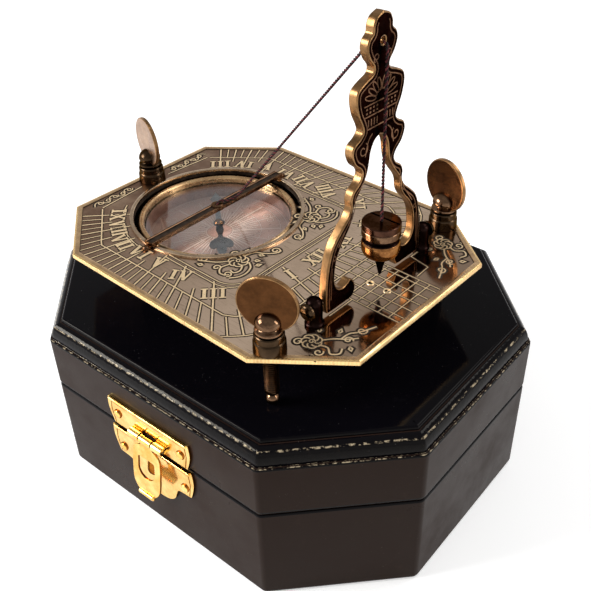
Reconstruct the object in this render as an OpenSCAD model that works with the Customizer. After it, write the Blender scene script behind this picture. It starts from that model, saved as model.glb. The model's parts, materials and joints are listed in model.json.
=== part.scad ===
// Pendulum sundial with a compass, standing on its lacquered wooden box.
// Millimetres. The origin is the middle of the box's underside, +Z up, the latch at the front (-Y),
// the hinges at the back (+Y) and the folding bracket at the +X end of the dial.

/* [Box] */
// Length of the box along X
box_l = 143.5; // [138:0.5:150]
// Width of the box along Y
box_w = 117.4; // [114:0.2:122]
// Length cut off each corner along X and Y
box_cut = 30.6; // [26:0.2:34]
// Height of the parting line between the base and the lid
part_z = 33.84; // [30:0.02:36]
// Height of the lid's flat top
lid_top = 56.9; // [56:0.1:58]
// Thickness of the wooden walls
wall = 6; // [5:0.5:6.5]
// Gap at the parting line
part_gap = 0.36; // [0.2:0.02:0.6]
// How far the lid can open
lid_open = 100; // [80:5:105]

/* [Dial] */
// Length of the dial plate
dial_l = 114.3; // [112:0.1:116]
// Width of the dial plate
dial_w = 88.9; // [88:0.1:90]
// Cut corner of the plate, along its length
dial_cut_x = 21.75; // [20:0.25:23]
// Cut corner of the plate, across it
dial_cut_y = 17.1; // [16:0.1:18]
// Thickness of the plate at its rim
plate_t = 1.6; // [1.4:0.1:2]
// Height of the plate's rim above the lid
stand_h = 18.75; // [17.5:0.25:20]
// How far the dial sits from the middle of the lid, along X
dial_x = -2.06; // [-4:0.02:4]
// How far the dial sits from the middle of the lid, along Y
dial_y = -3.25; // [-4:0.05:4]
// How far the dial is turned on the lid, in degrees
dial_turn = -2.5; // [-4:0.1:4]
// Distance of the compass centre from the middle of the plate
compass_x = 21.4; // [21:0.1:22]
// Radius of the hole for the compass
compass_r = 26; // [25.5:0.1:26.2]
// Angle between two hour lines, which all meet under the string's foot, in degrees
hour_step = 15; // [14:0.5:15]

/* [Levelling screws] */
// Distance of the paired screws from the middle of the plate, along X
pair_x = 36.9; // [36:0.1:38]
// Distance of the paired screws from the centre line
pair_y = 37.6; // [37:0.1:38]
// Distance of the single screw from the middle of the plate
tail_x = 52.8; // [52:0.1:54]
// Outer diameter of the screw thread
screw_d = 4; // [3.5:0.1:4.2]
// Diameter of the thumb discs
disc_d = 16; // [14:0.5:17]
// Thickness of the thumb discs
disc_t = 1.3; // [1:0.1:1.6]

/* [Bracket and pendulum] */
// Place of the bracket's mid plane along the plate
bracket_x = 39; // [38:0.1:40]
// Thickness of the bracket
bracket_t = 2.6; // [2.2:0.1:3]
// Height of the bracket above the rim of the plate
bracket_h = 74.3; // [72:0.1:76]
// Height of the hinge pins above the rim
pivot_z = 5; // [4.8:0.1:5.5]
// Height of the string hole above the rim
hole_z = 67.6; // [66:0.1:69]
// Diameter of the bob
bob_d = 10.4; // [9:0.1:11]
// Height of the top of the bob above the rim
bob_z = 20.8; // [20:0.1:22]
// Thickness of the string
string_d = 0.9; // [0.8:0.05:1]

/* [Latch] */
// Place of the latch along the front of the box
latch_x = 0.8; // [-2:0.1:3]
// Length of the latch plates
latch_l = 32.4; // [30:0.2:34]
// Thickness of the stamped sheet
sheet_t = 0.7; // [0.6:0.05:0.8]
// How far the hasp stands out from its snapped position, in degrees
hasp_tilt = 8; // [7:0.5:12]

/* [Hidden] */
$fn = 48;

bronze = [0.42, 0.33, 0.2];
dark_bronze = [0.3, 0.2, 0.11];
gold = [0.9, 0.68, 0.26];
lacquer = [0.04, 0.035, 0.05];
velvet = [0.32, 0.04, 0.08];
copper = [0.72, 0.45, 0.36];
thread_red = [0.28, 0.12, 0.1];

// Half sizes and shared heights
box_hx = box_l / 2;
box_hy = box_w / 2;
base_top = part_z - part_gap / 2;
lid_bottom = part_z + part_gap / 2;
field_z = -0.3;
lip_r = compass_r + 1.2;
lip_z = 0.45;
rim_w = 2.1;
// Sides of the hour scale, inner and outer: each normal's angle and distance from the compass centre
scale_in = [[90, 35.8], [0, 45.6], [45, 54.3], [128.2, 35.5]];
scale_out = [[90, 42.5], [0, 52.1], [45, 62.4], [128.2, 41.7]];
// Depth that a raised line is rooted in the plate
root = 0.2;
glass_z = -3;
card_z = -8.5;
card_bottom = -9.03;
needle_z = -5.6;
foot_z = -stand_h + 0.05;
hinge_y = box_hy + 1.55;
hasp_axis = [box_hy + 1.75, 36.5];
// Places of the latch nails: from the latch's middle, and up the base and the lid
nail_x = 12.8;
low_nail_z = 25.4;
high_nail_z = 38.7;
post_y = 23.3;
// Distance of the gnomon bar's rivets from the compass centre
rivet_y = 28.7;
// Outer radius of the bushes that the screws run in
bush_r = 4.3;
face_x = bracket_x + bracket_t / 2;
hang_x = face_x + 1.5;
// Radius of the string's bend out of the bracket, and the height it swings from
bend_r = 1.1;
swing_z = hole_z - 1.55;
// Turns of the needle and of the thumb discs as stored, in degrees
needle_turn = -40;
front_turn = 25;
back_turn = -15;
tail_turn = -16;

// A point set between two others
function mix(a, b, t) = a + (b - a) * t;
function unit(v) = v / norm(v);

// The eight corners of a rectangle with its corners cut off, drawn in by d along every edge
function cut_rect(hx, hy, cx, cy, d = 0) =
    let (len = sqrt(cx * cx + cy * cy), nx = cy / len, ny = cx / len,
        k = nx * hx + ny * (hy - cy) - d, x = hx - d, y = hy - d,
        ye = (k - nx * x) / ny, xe = (k - ny * y) / nx)
    [[x, -ye], [x, ye], [xe, y], [-xe, y], [-x, ye], [-x, -ye], [-xe, -y], [xe, -y]];

// Corners of a convex outline rounded to radius r, with n steps each
function rounded(p, r, n = 4) = [for (i = [0:len(p) - 1])
    let (a = p[(i + len(p) - 1) % len(p)], b = p[i], c = p[(i + 1) % len(p)],
        u = unit(a - b), v = unit(c - b), half = acos(u * v) / 2, m = b + unit(u + v) * r / sin(half),
        from = b + u * r / tan(half) - m, to = b + v * r / tan(half) - m)
    for (k = [0:n]) let (w = unit(mix(from, to, k / n) + unit(from + to) * 0.0001)) m + w * r];

function box_ring(d, r = 2.6) =
    rounded(cut_rect(box_hx, box_hy, box_cut, box_cut, d), max(r - d, 0.4));

// A solid through rings of equal count, listed as [points, height] from the bottom up
module stack(rings) {
    n = len(rings[0][0]);
    m = len(rings);
    polyhedron(
        points = [for (s = rings) for (p = s[0]) [p[0], p[1], s[1]]],
        faces = concat([[for (i = [0:n - 1]) i]], [[for (i = [0:n - 1]) m * n - 1 - i]],
            [for (j = [0:m - 2]) for (i = [0:n - 1]) let (k = (i + 1) % n)
                each [[j * n + i, (j + 1) * n + i, (j + 1) * n + k],
                      [j * n + i, (j + 1) * n + k, j * n + k]]]),
        convexity = 6);
}

// A smooth curve through the points, with n steps between each pair
function spline(p, n = 4) = concat([for (i = [0:len(p) - 2])
    let (a = p[max(i - 1, 0)], b = p[i], c = p[i + 1], d = p[min(i + 2, len(p) - 1)])
    for (k = [0:n - 1]) let (t = k / n)
        0.5 * (2 * b + (c - a) * t + (2 * a - 5 * b + 4 * c - d) * t * t
            + (3 * b - a - 3 * c + d) * t * t * t)], [p[len(p) - 1]]);

function mirrored(p) = [for (i = [len(p) - 1:-1:0]) [-p[i][0], p[i][1]]];

// A round tube along a list of points
function frame_at(p, i) = let (d = unit(p[min(i + 1, len(p) - 1)] - p[max(i - 1, 0)]),
    s = unit(cross(d, [0, 1, 0.01]))) [s, cross(d, s)];

module tube(p, d, sides = 8) {
    n = len(p);
    polyhedron(
        points = [for (i = [0:n - 1]) let (f = frame_at(p, i)) for (k = [0:sides - 1])
            p[i] + d / 2 * (cos(360 * k / sides) * f[0] + sin(360 * k / sides) * f[1])],
        faces = concat([[for (k = [0:sides - 1]) k]],
            [[for (k = [0:sides - 1]) n * sides - 1 - k]],
            [for (i = [0:n - 2]) for (k = [0:sides - 1]) let (m = (k + 1) % sides)
                each [[i * sides + k, (i + 1) * sides + k, (i + 1) * sides + m],
                      [i * sides + k, (i + 1) * sides + m, i * sides + m]]]),
        convexity = 4);
}

// Puts what follows in the dial's own frame: z = 0 at the rim's top, -X towards the compass
module on_dial() translate([dial_x, dial_y, lid_top + stand_h]) rotate(dial_turn) children();

// Both sides of the dial
module both_sides() {
    children();
    mirror([0, 1, 0]) children();
}

// Box base

module box_base() color(lacquer) difference() {
    stack([for (s = [[1.5, 0], [0.45, 0.45], [0, 1.5], [0, base_top - 0.4], [0.4, base_top]])
        [box_ring(s[0]), s[1]]]);
    translate([0, 0, 5]) linear_extrude(base_top)
        polygon(cut_rect(box_hx, box_hy, box_cut, box_cut, wall));
    latch_nail_holes(low_nail_z);
    hinge_screw_holes(-1);
}

// The padded lining follows the walls and holds the folded instrument
module base_lining() color(velvet) difference() {
    translate([0, 0, 5.05]) linear_extrude(base_top - 5.55)
        polygon(cut_rect(box_hx, box_hy, box_cut, box_cut, wall + 0.1));
    translate([0, 0, 14]) linear_extrude(base_top) polygon(nest());
    translate([dial_x - compass_x, dial_y, 8]) cylinder(h = 10, r = compass_r + 3);
}

function nest() = cut_rect(62, 48, 22, 18);

module latch_nail_holes(z) for (s = [-1, 1]) translate([latch_x + s * nail_x, -box_hy + 5, z])
    rotate([90, 0, 0]) cylinder(h = 8, r = 0.65, $fn = 24);

// Latch

module latch_sheet(outline) rotate([90, 0, 0]) linear_extrude(sheet_t) polygon(outline);

// Half outline of a latch plate with a bowed end, from its top edge down
function wing(top, low) = [for (a = [0:5]) let (t = a / 5)
    [latch_l / 2 + 1.1 * sin(180 * t) * (1 - t * 0.4) - 1.2 * t, mix(top, low, t)]];

module catch_plate() color(gold) translate([latch_x, -box_hy, 0]) difference() {
    union() {
        latch_sheet(let (h = concat(wing(33.1, 22.6), [[9.6, 21.6], [8.4, 19.4], [7.4, 16.8],
            [5.2, 14.9], [2.6, 14.3]])) concat(h, mirrored(h)));
        translate([-latch_l / 2 + 0.6, -1.2, 32.2]) cube([latch_l - 1.2, 1.2, 0.9]);
        catch_tongue();
    }
    for (s = [-1, 1]) translate([s * nail_x, 1, low_nail_z]) rotate([90, 0, 0])
        cylinder(h = 4, r = 0.7, $fn = 24);
}

// The tongue is pressed out of the plate: flush at its top, standing out at its lower lip
module catch_tongue() stack([for (s = [[2.4, 23.6], [2.25, 24.6], [1.75, 26.4], [1.15, 28.1],
    [0.72, 29]]) [[for (a = [0:8]) [-2.7 * cos(22.5 * a), -s[0] * sin(22.5 * a)]], s[1]]]);

module catch_nails() color(gold) latch_nails_at(low_nail_z);

module latch_nails_at(z) for (s = [-1, 1]) translate([latch_x + s * nail_x, -box_hy - sheet_t, z])
    rotate([90, 0, 0]) rotate_extrude($fn = 32)
        polygon([[0, -4.6], [0.25, -4.2], [0.6, -3.6], [0.6, 0.02], [1.45, 0.02], [1.35, 0.4],
            [0.8, 0.75], [0, 0.85]]);

module latch_plate() color(gold) translate([latch_x, -box_hy, 0]) difference() {
    union() {
        latch_sheet(let (h = wing(44, 34.3)) concat(h, mirrored(h)));
        translate([-latch_l / 2 + 0.6, -1.2, 43.1]) cube([latch_l - 1.2, 1.2, 0.9]);
        for (s = [-1, 1]) translate([s * 4.75 - 2.05, 0, hasp_axis[1]]) rotate([0, 90, 0])
            translate([0, -1.75, 0]) cylinder(h = 4.1, r = 1.35);
        for (s = [-1, 1]) translate([s * 4.75 - 2.05, -1.75, 35.15]) cube([4.1, 1.7, 1.2]);
    }
    translate([-5.8, -2, 38.4]) cube([11.6, 3, 2.6]);
    translate([-2.6, -4, 34]) cube([5.2, 5, 4.6]);
    for (s = [-1, 1]) translate([s * nail_x, 1, high_nail_z]) rotate([90, 0, 0])
        cylinder(h = 4, r = 0.7, $fn = 24);
    translate([-8, -1.75, hasp_axis[1]]) rotate([0, 90, 0]) cylinder(h = 16, r = 0.56, $fn = 24);
}

module latch_nails() color(gold) latch_nails_at(high_nail_z);

module hasp_pin() color(gold) translate([latch_x - 6.9, -hasp_axis[0], hasp_axis[1]])
    rotate([0, 90, 0]) cylinder(h = 13.8, r = 0.5, $fn = 24);

// The hasp is drawn hanging straight down from its pin, then swung out by its tilt
module hasp() color(gold) translate([latch_x, -hasp_axis[0], hasp_axis[1]]) rotate([-hasp_tilt, 0, 0])
    difference() {
        union() {
            translate([-2.35, 0, 0]) rotate([0, 90, 0]) cylinder(h = 4.7, r = 1.3);
            translate([0, sheet_t / 2, 0]) rotate([90, 0, 0]) linear_extrude(sheet_t) hasp_outline();
            translate([0, -sheet_t / 2 + 0.1, -19.6]) rotate([0, 90, 0])
                cylinder(h = 6.4, r = 0.8, center = true);
        }
        translate([-3, 0, 0]) rotate([0, 90, 0]) cylinder(h = 6, r = 0.56, $fn = 24);
    }

module hasp_outline() difference() {
    polygon(let (h = concat([[2.35, 0], [2.35, -1.9], [4.2, -3], [5.6, -4.6], [5.8, -8], [5.7, -13]],
        [for (a = [0:6]) [5.6 * cos(15 * a), -14.6 - 5.6 * sin(15 * a)]])) concat(h, mirrored(h)));
    polygon(let (h = concat([[3.3, -6.6], [3.4, -10.5]],
        [for (a = [0:5]) [3.4 * cos(18 * a), -10.6 - 3.2 * sin(18 * a)]])) concat(h, mirrored(h)));
}

// Hinges at the back of the box

module at_hinges() for (s = [-1, 1]) translate([s * 25, hinge_y, part_z]) children();

module hinge_knuckles(first) for (k = [first:2:4]) translate([-11 + k * 4.4 + 0.1, 0, 0])
    rotate([0, 90, 0]) cylinder(h = 4.2, r = 1.4);

// side is -1 for the leaf on the base and 1 for the one on the lid
module hinge_leaves(side) color(gold) at_hinges() difference() {
    union() {
        translate([-11, -1.55, side > 0 ? 1.9 : -10]) cube([22, 0.8, 8.1]);
        for (k = [side > 0 ? 1 : 0:2:4]) translate([-11 + k * 4.4 + 0.1, -1.55, side > 0 ? 0.6 : -2.4])
            cube([4.2, 0.8, 1.8]);
        hinge_knuckles(side > 0 ? 1 : 0);
    }
    translate([-12, 0, 0]) rotate([0, 90, 0]) cylinder(h = 24, r = side > 0 ? 0.72 : 0.76);
    for (s = [-1, 1]) translate([s * 6.6, 1, side * 6.2]) rotate([90, 0, 0])
        cylinder(h = 4, r = 1.1, $fn = 24);
}

module hinge_screw_holes(side) at_hinges() for (s = [-1, 1]) translate([s * 6.6, 0, side * 6.2])
    rotate([90, 0, 0]) cylinder(h = 6.4, r = 1.05, $fn = 24);

module hinge_screws(side) color(gold) at_hinges() for (s = [-1, 1]) translate([s * 6.6, -0.75, side * 6.2])
    rotate([-90, 0, 0]) difference() {
        rotate_extrude($fn = 32) polygon([[0, -5.2], [0.4, -4.6], [1, -4], [1, 0.02], [1.7, 0.02],
            [1.55, 0.35], [0.9, 0.6], [0, 0.65]]);
        translate([-2, -0.2, 0.35]) cube([4, 0.4, 1]);
    }

module base_hinge_leaves() hinge_leaves(-1);
module lid_hinge_leaves() hinge_leaves(1);
module base_hinge_screws() hinge_screws(-1);
module lid_hinge_screws() hinge_screws(1);

module hinge_pins() color(gold) at_hinges() translate([-11.2, 0, 0]) rotate([0, 90, 0])
    cylinder(h = 22.4, r = 0.7);

// Box lid, with an ovolo moulding between two fine beads

function ovolo(a, b, n = 6) = [for (i = [0:n])
    [mix(a[0], b[0], 1 - cos(90 * i / n)), mix(a[1], b[1], sin(90 * i / n))]];

module box_lid() color(lacquer) difference() {
    stack([for (s = concat([[0.4, lid_bottom], [0, lid_bottom + 0.4], [0, 50.4], [0.3, 50.8],
        [0.9, 50.8]], ovolo([0.95, 51.4], [3.8, 55.8]), [[4.2, 55.8], [4.33, 56.5], [4.7, lid_top]]))
        [box_ring(s[0]), s[1]]]);
    translate([0, 0, lid_bottom - 1]) linear_extrude(18)
        polygon(cut_rect(box_hx, box_hy, box_cut, box_cut, wall));
    latch_nail_holes(high_nail_z);
    hinge_screw_holes(1);
}

module lid_lining() color(velvet) difference() {
    translate([0, 0, lid_bottom + 0.5]) linear_extrude(50.45 - lid_bottom)
        polygon(cut_rect(box_hx, box_hy, box_cut, box_cut, wall + 0.1));
    translate([0, 0, lid_bottom - 1]) linear_extrude(16) polygon(nest());
}

// Dial plate: a cast octagon with a raised rim, a lip round the compass and a raised hour scale

function dial_ring(d) = cut_rect(dial_l / 2, dial_w / 2, dial_cut_x, dial_cut_y, d);

module dial_plate() color(bronze) on_dial() difference() {
    union() {
        difference() {
            stack([for (s = [[0.3, -plate_t], [0, -plate_t + 0.3], [0, -0.35], [0.8, 0]])
                [dial_ring(s[0]), s[1]]]);
            translate([0, 0, field_z]) linear_extrude(1) polygon(dial_ring(rim_w));
        }
        translate([-compass_x, 0, -1]) cylinder(h = 1 + lip_z, r = lip_r, $fn = 96);
        hour_scale();
        panel_border();
        lattice();
    }
    translate([-compass_x, 0, -3]) cylinder(h = 5, r = compass_r, $fn = 96);
    for (p = screw_places()) translate([p[0], p[1], -3]) cylinder(h = 5, r = screw_d / 2 + 0.6);
    for (p = screw_places()) translate([p[0], p[1], field_z + 0.01]) cylinder(h = 2, r = bush_r + 0.1);
    for (s = [-1, 1]) translate([bracket_x, s * post_y, -3]) cylinder(h = 5, r = 1.25, $fn = 24);
    for (s = [-1, 1]) translate([bracket_x, s * post_y, field_z + 0.01]) cylinder(h = 2, r = 2.7);
    for (s = [-1, 1]) translate([-compass_x, s * rivet_y, -3]) cylinder(h = 5, r = 0.55, $fn = 24);
    for (x = [38.9, 44.6]) translate([x, 0, -3]) cylinder(h = 5, r = 0.7, $fn = 24);
}

// A raised line on the dial's field. Lines that cross have their own heights, a little apart
module rib(a, b, w, rise) translate([a[0], a[1], field_z - root - rise])
    rotate(atan2(b[1] - a[1], b[0] - a[0])) translate([0, -w / 2, 0]) cube([norm(b - a), w, root + 2 * rise]);

// The same along a path of many points
function beside(p, i, w) = let (t = unit(p[min(i + 1, len(p) - 1)] - p[max(i - 1, 0)]))
    p[i] + [-t[1], t[0]] * w / 2;

module strip(p, w, rise) translate([0, 0, field_z - root - rise]) linear_extrude(root + 2 * rise)
    polygon(concat([for (i = [0:len(p) - 1]) beside(p, i, w)],
        [for (i = [len(p) - 1:-1:0]) beside(p, i, -w)]));

// Where the ray at an angle from the string's foot meets the nearest side, drawn in by d
function on_side(sides, a, d = 0) = let (r = min([for (s = sides) if (cos(abs(a) - s[0]) > 0.1)
    (s[1] - d) / cos(abs(a) - s[0])])) [-compass_x + r * cos(a), r * sin(a)];

// How far an hour line reaches into the plate: the two beside the ends of the gnomon bar are shorter
function hour_depth(h) = abs(h) == 6 ? 5.6 : 8.8;

// The scale runs along both long sides and across the plate: a border, hour lines and the ticks
// between them
module hour_scale() intersection() {
    translate([0, 0, -1]) linear_extrude(2) polygon(dial_ring(rim_w - 0.3));
    union() {
        strip([for (a = [-141:3:141]) on_side(scale_in, a)], 0.35, 0.16);
        strip([for (a = [-45:3:45]) on_side(scale_out, a)], 0.35, 0.14);
        for (h = [-9:9]) rib(on_side(scale_in, h * hour_step, hour_depth(h)),
            on_side(scale_out, h * hour_step, -1), 0.5, 0.2);
        for (h = [-8.5:8.5]) rib(on_side(scale_in, h * hour_step, 3),
            on_side(scale_out, h * hour_step, -1), 0.4, 0.19);
        for (h = [-8.75:0.5:8.75]) rib(on_side(scale_in, h * hour_step, -0.1),
            on_side(scale_out, h * hour_step, -1), 0.35, 0.18);
    }
}

// Two parallel lines with round corners close off the panel beside the compass
module panel_border() for (d = [0, 1.4]) {
    h = [[-14, 26.3 + d], [4, 26.3 + d], [7.5 + d * 0.3, 26.1 + d], [10 + d * 0.7, 25 + d * 0.8],
        [12 + d * 0.9, 22.8 + d * 0.3], [12.9 + d, 20]];
    strip(concat(h, [for (i = [len(h) - 1:-1:0]) [h[i][0], -h[i][1]]]), 0.45, 0.18 - d * 0.01);
}

// A lattice of fine lines round the index holes, beyond the scale
module lattice() intersection() {
    translate([0, 0, -1]) linear_extrude(2) polygon(dial_ring(rim_w - 0.3));
    union() {
        for (y = [-8.9, -6.7, -3, 0.6, 4.1, 7.9, 9.8]) rib([30.7, y], [55.6, y], 0.3, 0.13);
        for (x = [34.2, 37.7, 41.2, 44.7, 48.2, 51.7]) rib([x, -8.9], [x, 9.8], 0.3, 0.11);
    }
}

function screw_places() = [[pair_x, -pair_y], [pair_x, pair_y], [-tail_x, 0]];

// A threaded bush under each screw, turned with a step
module screw_bushes() color(dark_bronze) on_dial() for (p = screw_places())
    translate([p[0], p[1], field_z + 0.02]) difference() {
        rotate_extrude() polygon([[1, 0], [bush_r - 0.1, 0], [bush_r, 0.3], [bush_r - 0.1, 3],
            [bush_r - 0.35, 3.3], [bush_r - 0.4, 3.4], [bush_r - 0.4, 5], [bush_r - 0.7, 5.3], [1, 5.3]]);
        translate([0, 0, -1]) cylinder(h = 8, r = screw_d / 2 + 0.05);
    }

// Compass

module compass_bowl() color(dark_bronze) on_dial() translate([-compass_x, 0, 0]) rotate_extrude($fn = 96)
    polygon([[0, -9.9], [23.2, -9.9], [23.6, -9.5], [23.6, -4.9], [26.9, -4.9], [26.9, -2.6],
        [27.6, -2.6], [27.6, -plate_t - 0.02], [25.98, -plate_t - 0.02], [25.98, -4.05], [22.6, -4.05],
        [22.6, card_bottom - 0.02], [0, card_bottom - 0.02]]);

module compass_bezel() color(bronze) on_dial() translate([-compass_x, 0, 0]) rotate_extrude($fn = 96)
    polygon(concat([[23.45, -4.03], [25.85, -4.03], [25.85, -3.3], [24.9, -2.7]],
        [for (a = [0:6]) [23.85 + 0.95 * cos(30 * a), -2 + 0.95 * sin(30 * a)]],
        [[22.9, glass_z + 0.02], [23.45, glass_z + 0.02]]));

module compass_glass() color([0.8, 0.85, 0.85, 0.35]) on_dial() translate([-compass_x, 0, glass_z - 1])
    cylinder(h = 1, r = 23.4, $fn = 96);

module compass_card() color(copper) on_dial() translate([-compass_x, 0, card_bottom]) difference() {
    cylinder(h = card_z - card_bottom, r = 22.5, $fn = 96);
    translate([0, 0, -1]) cylinder(h = 3, r = 0.8, $fn = 24);
}

module needle_pivot() color(gold) on_dial() translate([-compass_x, 0, card_bottom]) rotate_extrude($fn = 32)
    polygon([[0, 0], [0.75, 0], [0.75, 0.55], [1.1, 0.55], [0.9, 1], [0.5, 2.4], [0.3, 3.6], [0, 4]]);

// Upper half of the needle's outline: a leaf at the tail, a round hub and a lily at the head
function needle_half() = concat([[-19.3, 0], [-15, 1.9], [-12, 0.7], [-1.9, 0.9]],
    [for (a = [140:-20:40]) [1.9 * cos(a), 1.9 * sin(a)]],
    spline([[2, 0.9], [4, 1.2], [7, 0.7], [8.6, 1], [10.4, 3], [12.6, 3.7], [14.2, 3.2], [14.6, 2.2]], 3),
    [[14, 1.3], [15, 1.6], [17, 1.2], [19.6, 0]]);

module compass_needle() color([0.5, 0.5, 0.52]) on_dial() translate([-compass_x, 0, needle_z])
    rotate(needle_turn) linear_extrude(0.3) difference() {
        polygon(let (h = needle_half()) concat(h, [for (i = [len(h) - 2:-1:1]) [h[i][0], -h[i][1]]]));
        circle(r = 1);
    }

module needle_cap() color(gold) on_dial() translate([-compass_x, 0, needle_z]) rotate_extrude($fn = 32)
    polygon([[0.55, -0.4], [0.97, -0.4], [0.97, 0.32], [1.5, 0.32], [1.4, 0.7], [0.8, 1.25], [0, 1.4],
        [0, 0.9], [0.45, 0.3]]);

// Gnomon bar: a channel across the compass with an eyelet at its middle

module gnomon_bar() color(bronze) on_dial() translate([-compass_x, 0, 0]) difference() {
    union() {
        translate([-1.7, -27.6, lip_z + 0.02]) cube([3.4, 55.2, 1.2]);
        for (s = [-1, 1]) translate([-1.1, s * 28.6 - 1.2, field_z + 0.02]) cube([2.2, 2.4, 0.7]);
        for (s = [-1, 1]) translate([-1.1, s * 27.5 - 0.2, field_z + 0.02]) cube([2.2, 0.4, 1.6]);
        translate([0, 0, lip_z + 0.02]) cylinder(h = 1.65, r = 1.9);
    }
    difference() {
        translate([-1, -26.9, lip_z + 0.82]) cube([2, 53.8, 1]);
        cylinder(h = 5, r = 1.9);
    }
    translate([0, 0, -1]) cylinder(h = 5, r = 0.65, $fn = 24);
    for (y = [2.6, 3.6]) translate([0.5, y, -1]) cylinder(h = 4, r = 0.3, $fn = 16);
    for (s = [-1, 1]) translate([0, s * rivet_y, -1]) cylinder(h = 4, r = 0.55, $fn = 24);
}

module bar_rivets() color(dark_bronze) on_dial() for (s = [-1, 1]) translate([-compass_x, s * rivet_y, 0])
    rotate_extrude($fn = 24) polygon([[0, -1.9], [0.9, -1.9], [0.9, -plate_t - 0.02], [0.52, -plate_t - 0.02],
        [0.52, 0.44], [0.95, 0.44], [0.8, 0.8], [0, 1]]);

// Posts and pivot screws that carry the bracket

module bracket_posts() color(dark_bronze) on_dial() for (s = [-1, 1]) translate([bracket_x, s * post_y, 0])
    difference() {
        rotate_extrude($fn = 40) polygon([[0, -plate_t - 0.4], [1.6, -plate_t - 0.4], [1.6, -plate_t - 0.02],
            [1.22, -plate_t - 0.02], [1.22, field_z + 0.02], [2.6, field_z + 0.02], [2.6, 0.5], [2.2, 0.9],
            [2.15, 6.4], [2, 7.2], [1.2, 7.9], [0, 8.1]]);
        translate([0, 0, pivot_z]) rotate([90, 0, 0]) cylinder(h = 12, r = 0.8, center = true, $fn = 32);
    }

module pivot_screws() color(dark_bronze) on_dial() both_sides() translate([bracket_x, 17, pivot_z])
    rotate([-90, 0, 0]) difference() {
        rotate_extrude($fn = 32) polygon([[0, 0], [0.55, 0], [0.75, 0.3], [0.75, 8.55], [2.3, 8.55],
            [2.3, 9.3], [1.9, 9.8], [0, 10]]);
        translate([-3, -0.25, 9.3]) cube([6, 0.5, 2]);
    }

// Bracket: a flat folding standard, scalloped outside, forked below, with a hooked foot on each leg

function bracket_outside() = spline([[0, bracket_h], [2.4, 73.4], [3.5, 71.6], [3.7, 70],
    [5.1, 68.7], [5.6, 66.7], [4.6, 64.2], [3, 62.2], [3.3, 60.5], [6, 59.4], [8.5, 58], [9.2, 55.6],
    [8.4, 52], [6.9, 49], [6.4, 47.2], [7.7, 45.8], [9.8, 44.6], [10.4, 42.4], [9.2, 39.6], [7.1, 37.7],
    [6.4, 36], [7.4, 34.2], [9.6, 32.6], [10.5, 30.6], [10.4, 28.4], [11.5, 26.2], [14.6, 23.4],
    [17.2, 20.6], [18.8, 16.8], [19.8, 11.6], [20.2, 6], [20.1, 2.2], [19.4, 1.4]], 3);

function bracket_inside() = concat([[18, 1.3], [10.6, 1.3]], spline([[9.5, 1.6], [8.6, 3.2], [8.6, 5.2], [9.6, 7],
    [10.7, 7.6], [11.7, 7], [13.4, 6.4], [15.4, 7.2], [16.6, 9.4], [16.7, 12.4], [15.9, 16.4], [14, 19.8],
    [11.4, 22.8], [10.2, 25], [9.8, 27.4], [8.8, 29.6], [6.6, 32.4], [4.7, 35.3], [3.9, 38], [3.3, 41.2],
    [1.9, 43.6], [0, 44.5]], 3));

module bracket() color(dark_bronze) on_dial() translate([bracket_x - bracket_t / 2, 0, 0])
    rotate([90, 0, 90]) difference() {
        linear_extrude(bracket_t) polygon(let (h = concat(bracket_outside(), bracket_inside()))
            concat(h, [for (i = [len(h) - 2:-1:1]) [-h[i][0], h[i][1]]]));
        translate([0, hole_z, -1]) cylinder(h = bracket_t + 2, r = 0.85, $fn = 32);
        for (s = [-1, 1]) translate([s * 21, pivot_z, bracket_t / 2]) rotate([0, -s * 90, 0])
            cylinder(h = 4.3, r = 0.8, $fn = 32);
    }

// Strings

// The gnomon string runs from the bracket's hole to the bar, bends over its edge and ends in the eyelet
string_start = [bracket_x - bracket_t / 2 - 0.45, 0, hole_z - 0.3];
string_end = [for (p = [[1.5, 7, 2.12], [1.2, 4.6, 2.1], [0.8, 3, 2.1], [0.55, 2.2, 2.46],
    [0.35, 1.6, 2.62], [0.2, 1, 2.62], [0.08, 0.5, 2.56], [0, 0.15, 2.25], [0, 0, 1.75], [0, 0, 1]])
    [p[0] - compass_x, p[1], p[2]]];

module gnomon_string() color(thread_red) on_dial()
    tube(concat([for (i = [0:9]) mix(string_start, string_end[0], i / 10)], string_end), string_d * 0.85);

// Where the string comes out of the bracket and bends down
module string_bend() color(thread_red) on_dial() translate([hang_x - bend_r, 0, hole_z]) {
    rotate([0, -90, 0]) cylinder(h = hang_x - bend_r - face_x - 0.05, r = string_d / 2, $fn = 16);
    translate([0, 0, -bend_r]) rotate([90, 0, 0]) rotate_extrude(angle = 90, $fn = 32)
        translate([bend_r, 0]) circle(d = string_d, $fn = 16);
}

module pendulum_string() color(thread_red) on_dial() translate([hang_x, 0, bob_z - 1.4])
    cylinder(h = swing_z + 0.15 - bob_z + 1.4, r = string_d / 2, $fn = 16);

// Bob: a slotted cap over a turned bulb with a point

module bob_cap() color(dark_bronze) on_dial() translate([hang_x, 0, bob_z]) difference() {
    rotate_extrude() polygon([[string_d / 2 + 0.03, 0], [bob_d / 2 - 0.5, 0], [bob_d / 2, -0.4],
        [bob_d / 2, -3.3], [bob_d / 2 - 0.3, -3.7], [bob_d / 2 - 1, -4], [string_d / 2 + 0.03, -4]]);
    translate([-6, 1.1, -0.7]) cube([12, 0.7, 2]);
}

module bob_body() color(dark_bronze) on_dial() translate([hang_x, 0, bob_z]) rotate_extrude()
    polygon(concat([[0, -16.7]], [[0.35, -16.2], [0.9, -14], [1.7, -11.6], [2.1, -10.9]],
        [for (a = [0:6]) [2.6 + (bob_d / 2 - 2.6) * sin(15 * a), -7.6 - 2.9 * cos(15 * a)]],
        [[bob_d / 2, -6.1], [bob_d / 2 - 0.4, -5.3], [bob_d / 2 - 1.1, -4.9], [bob_d / 2 - 1.1, -4.02],
            [0, -4.02]]));

// Levelling screws: a thumb disc let into a domed head, over a thread and a ball foot

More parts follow.
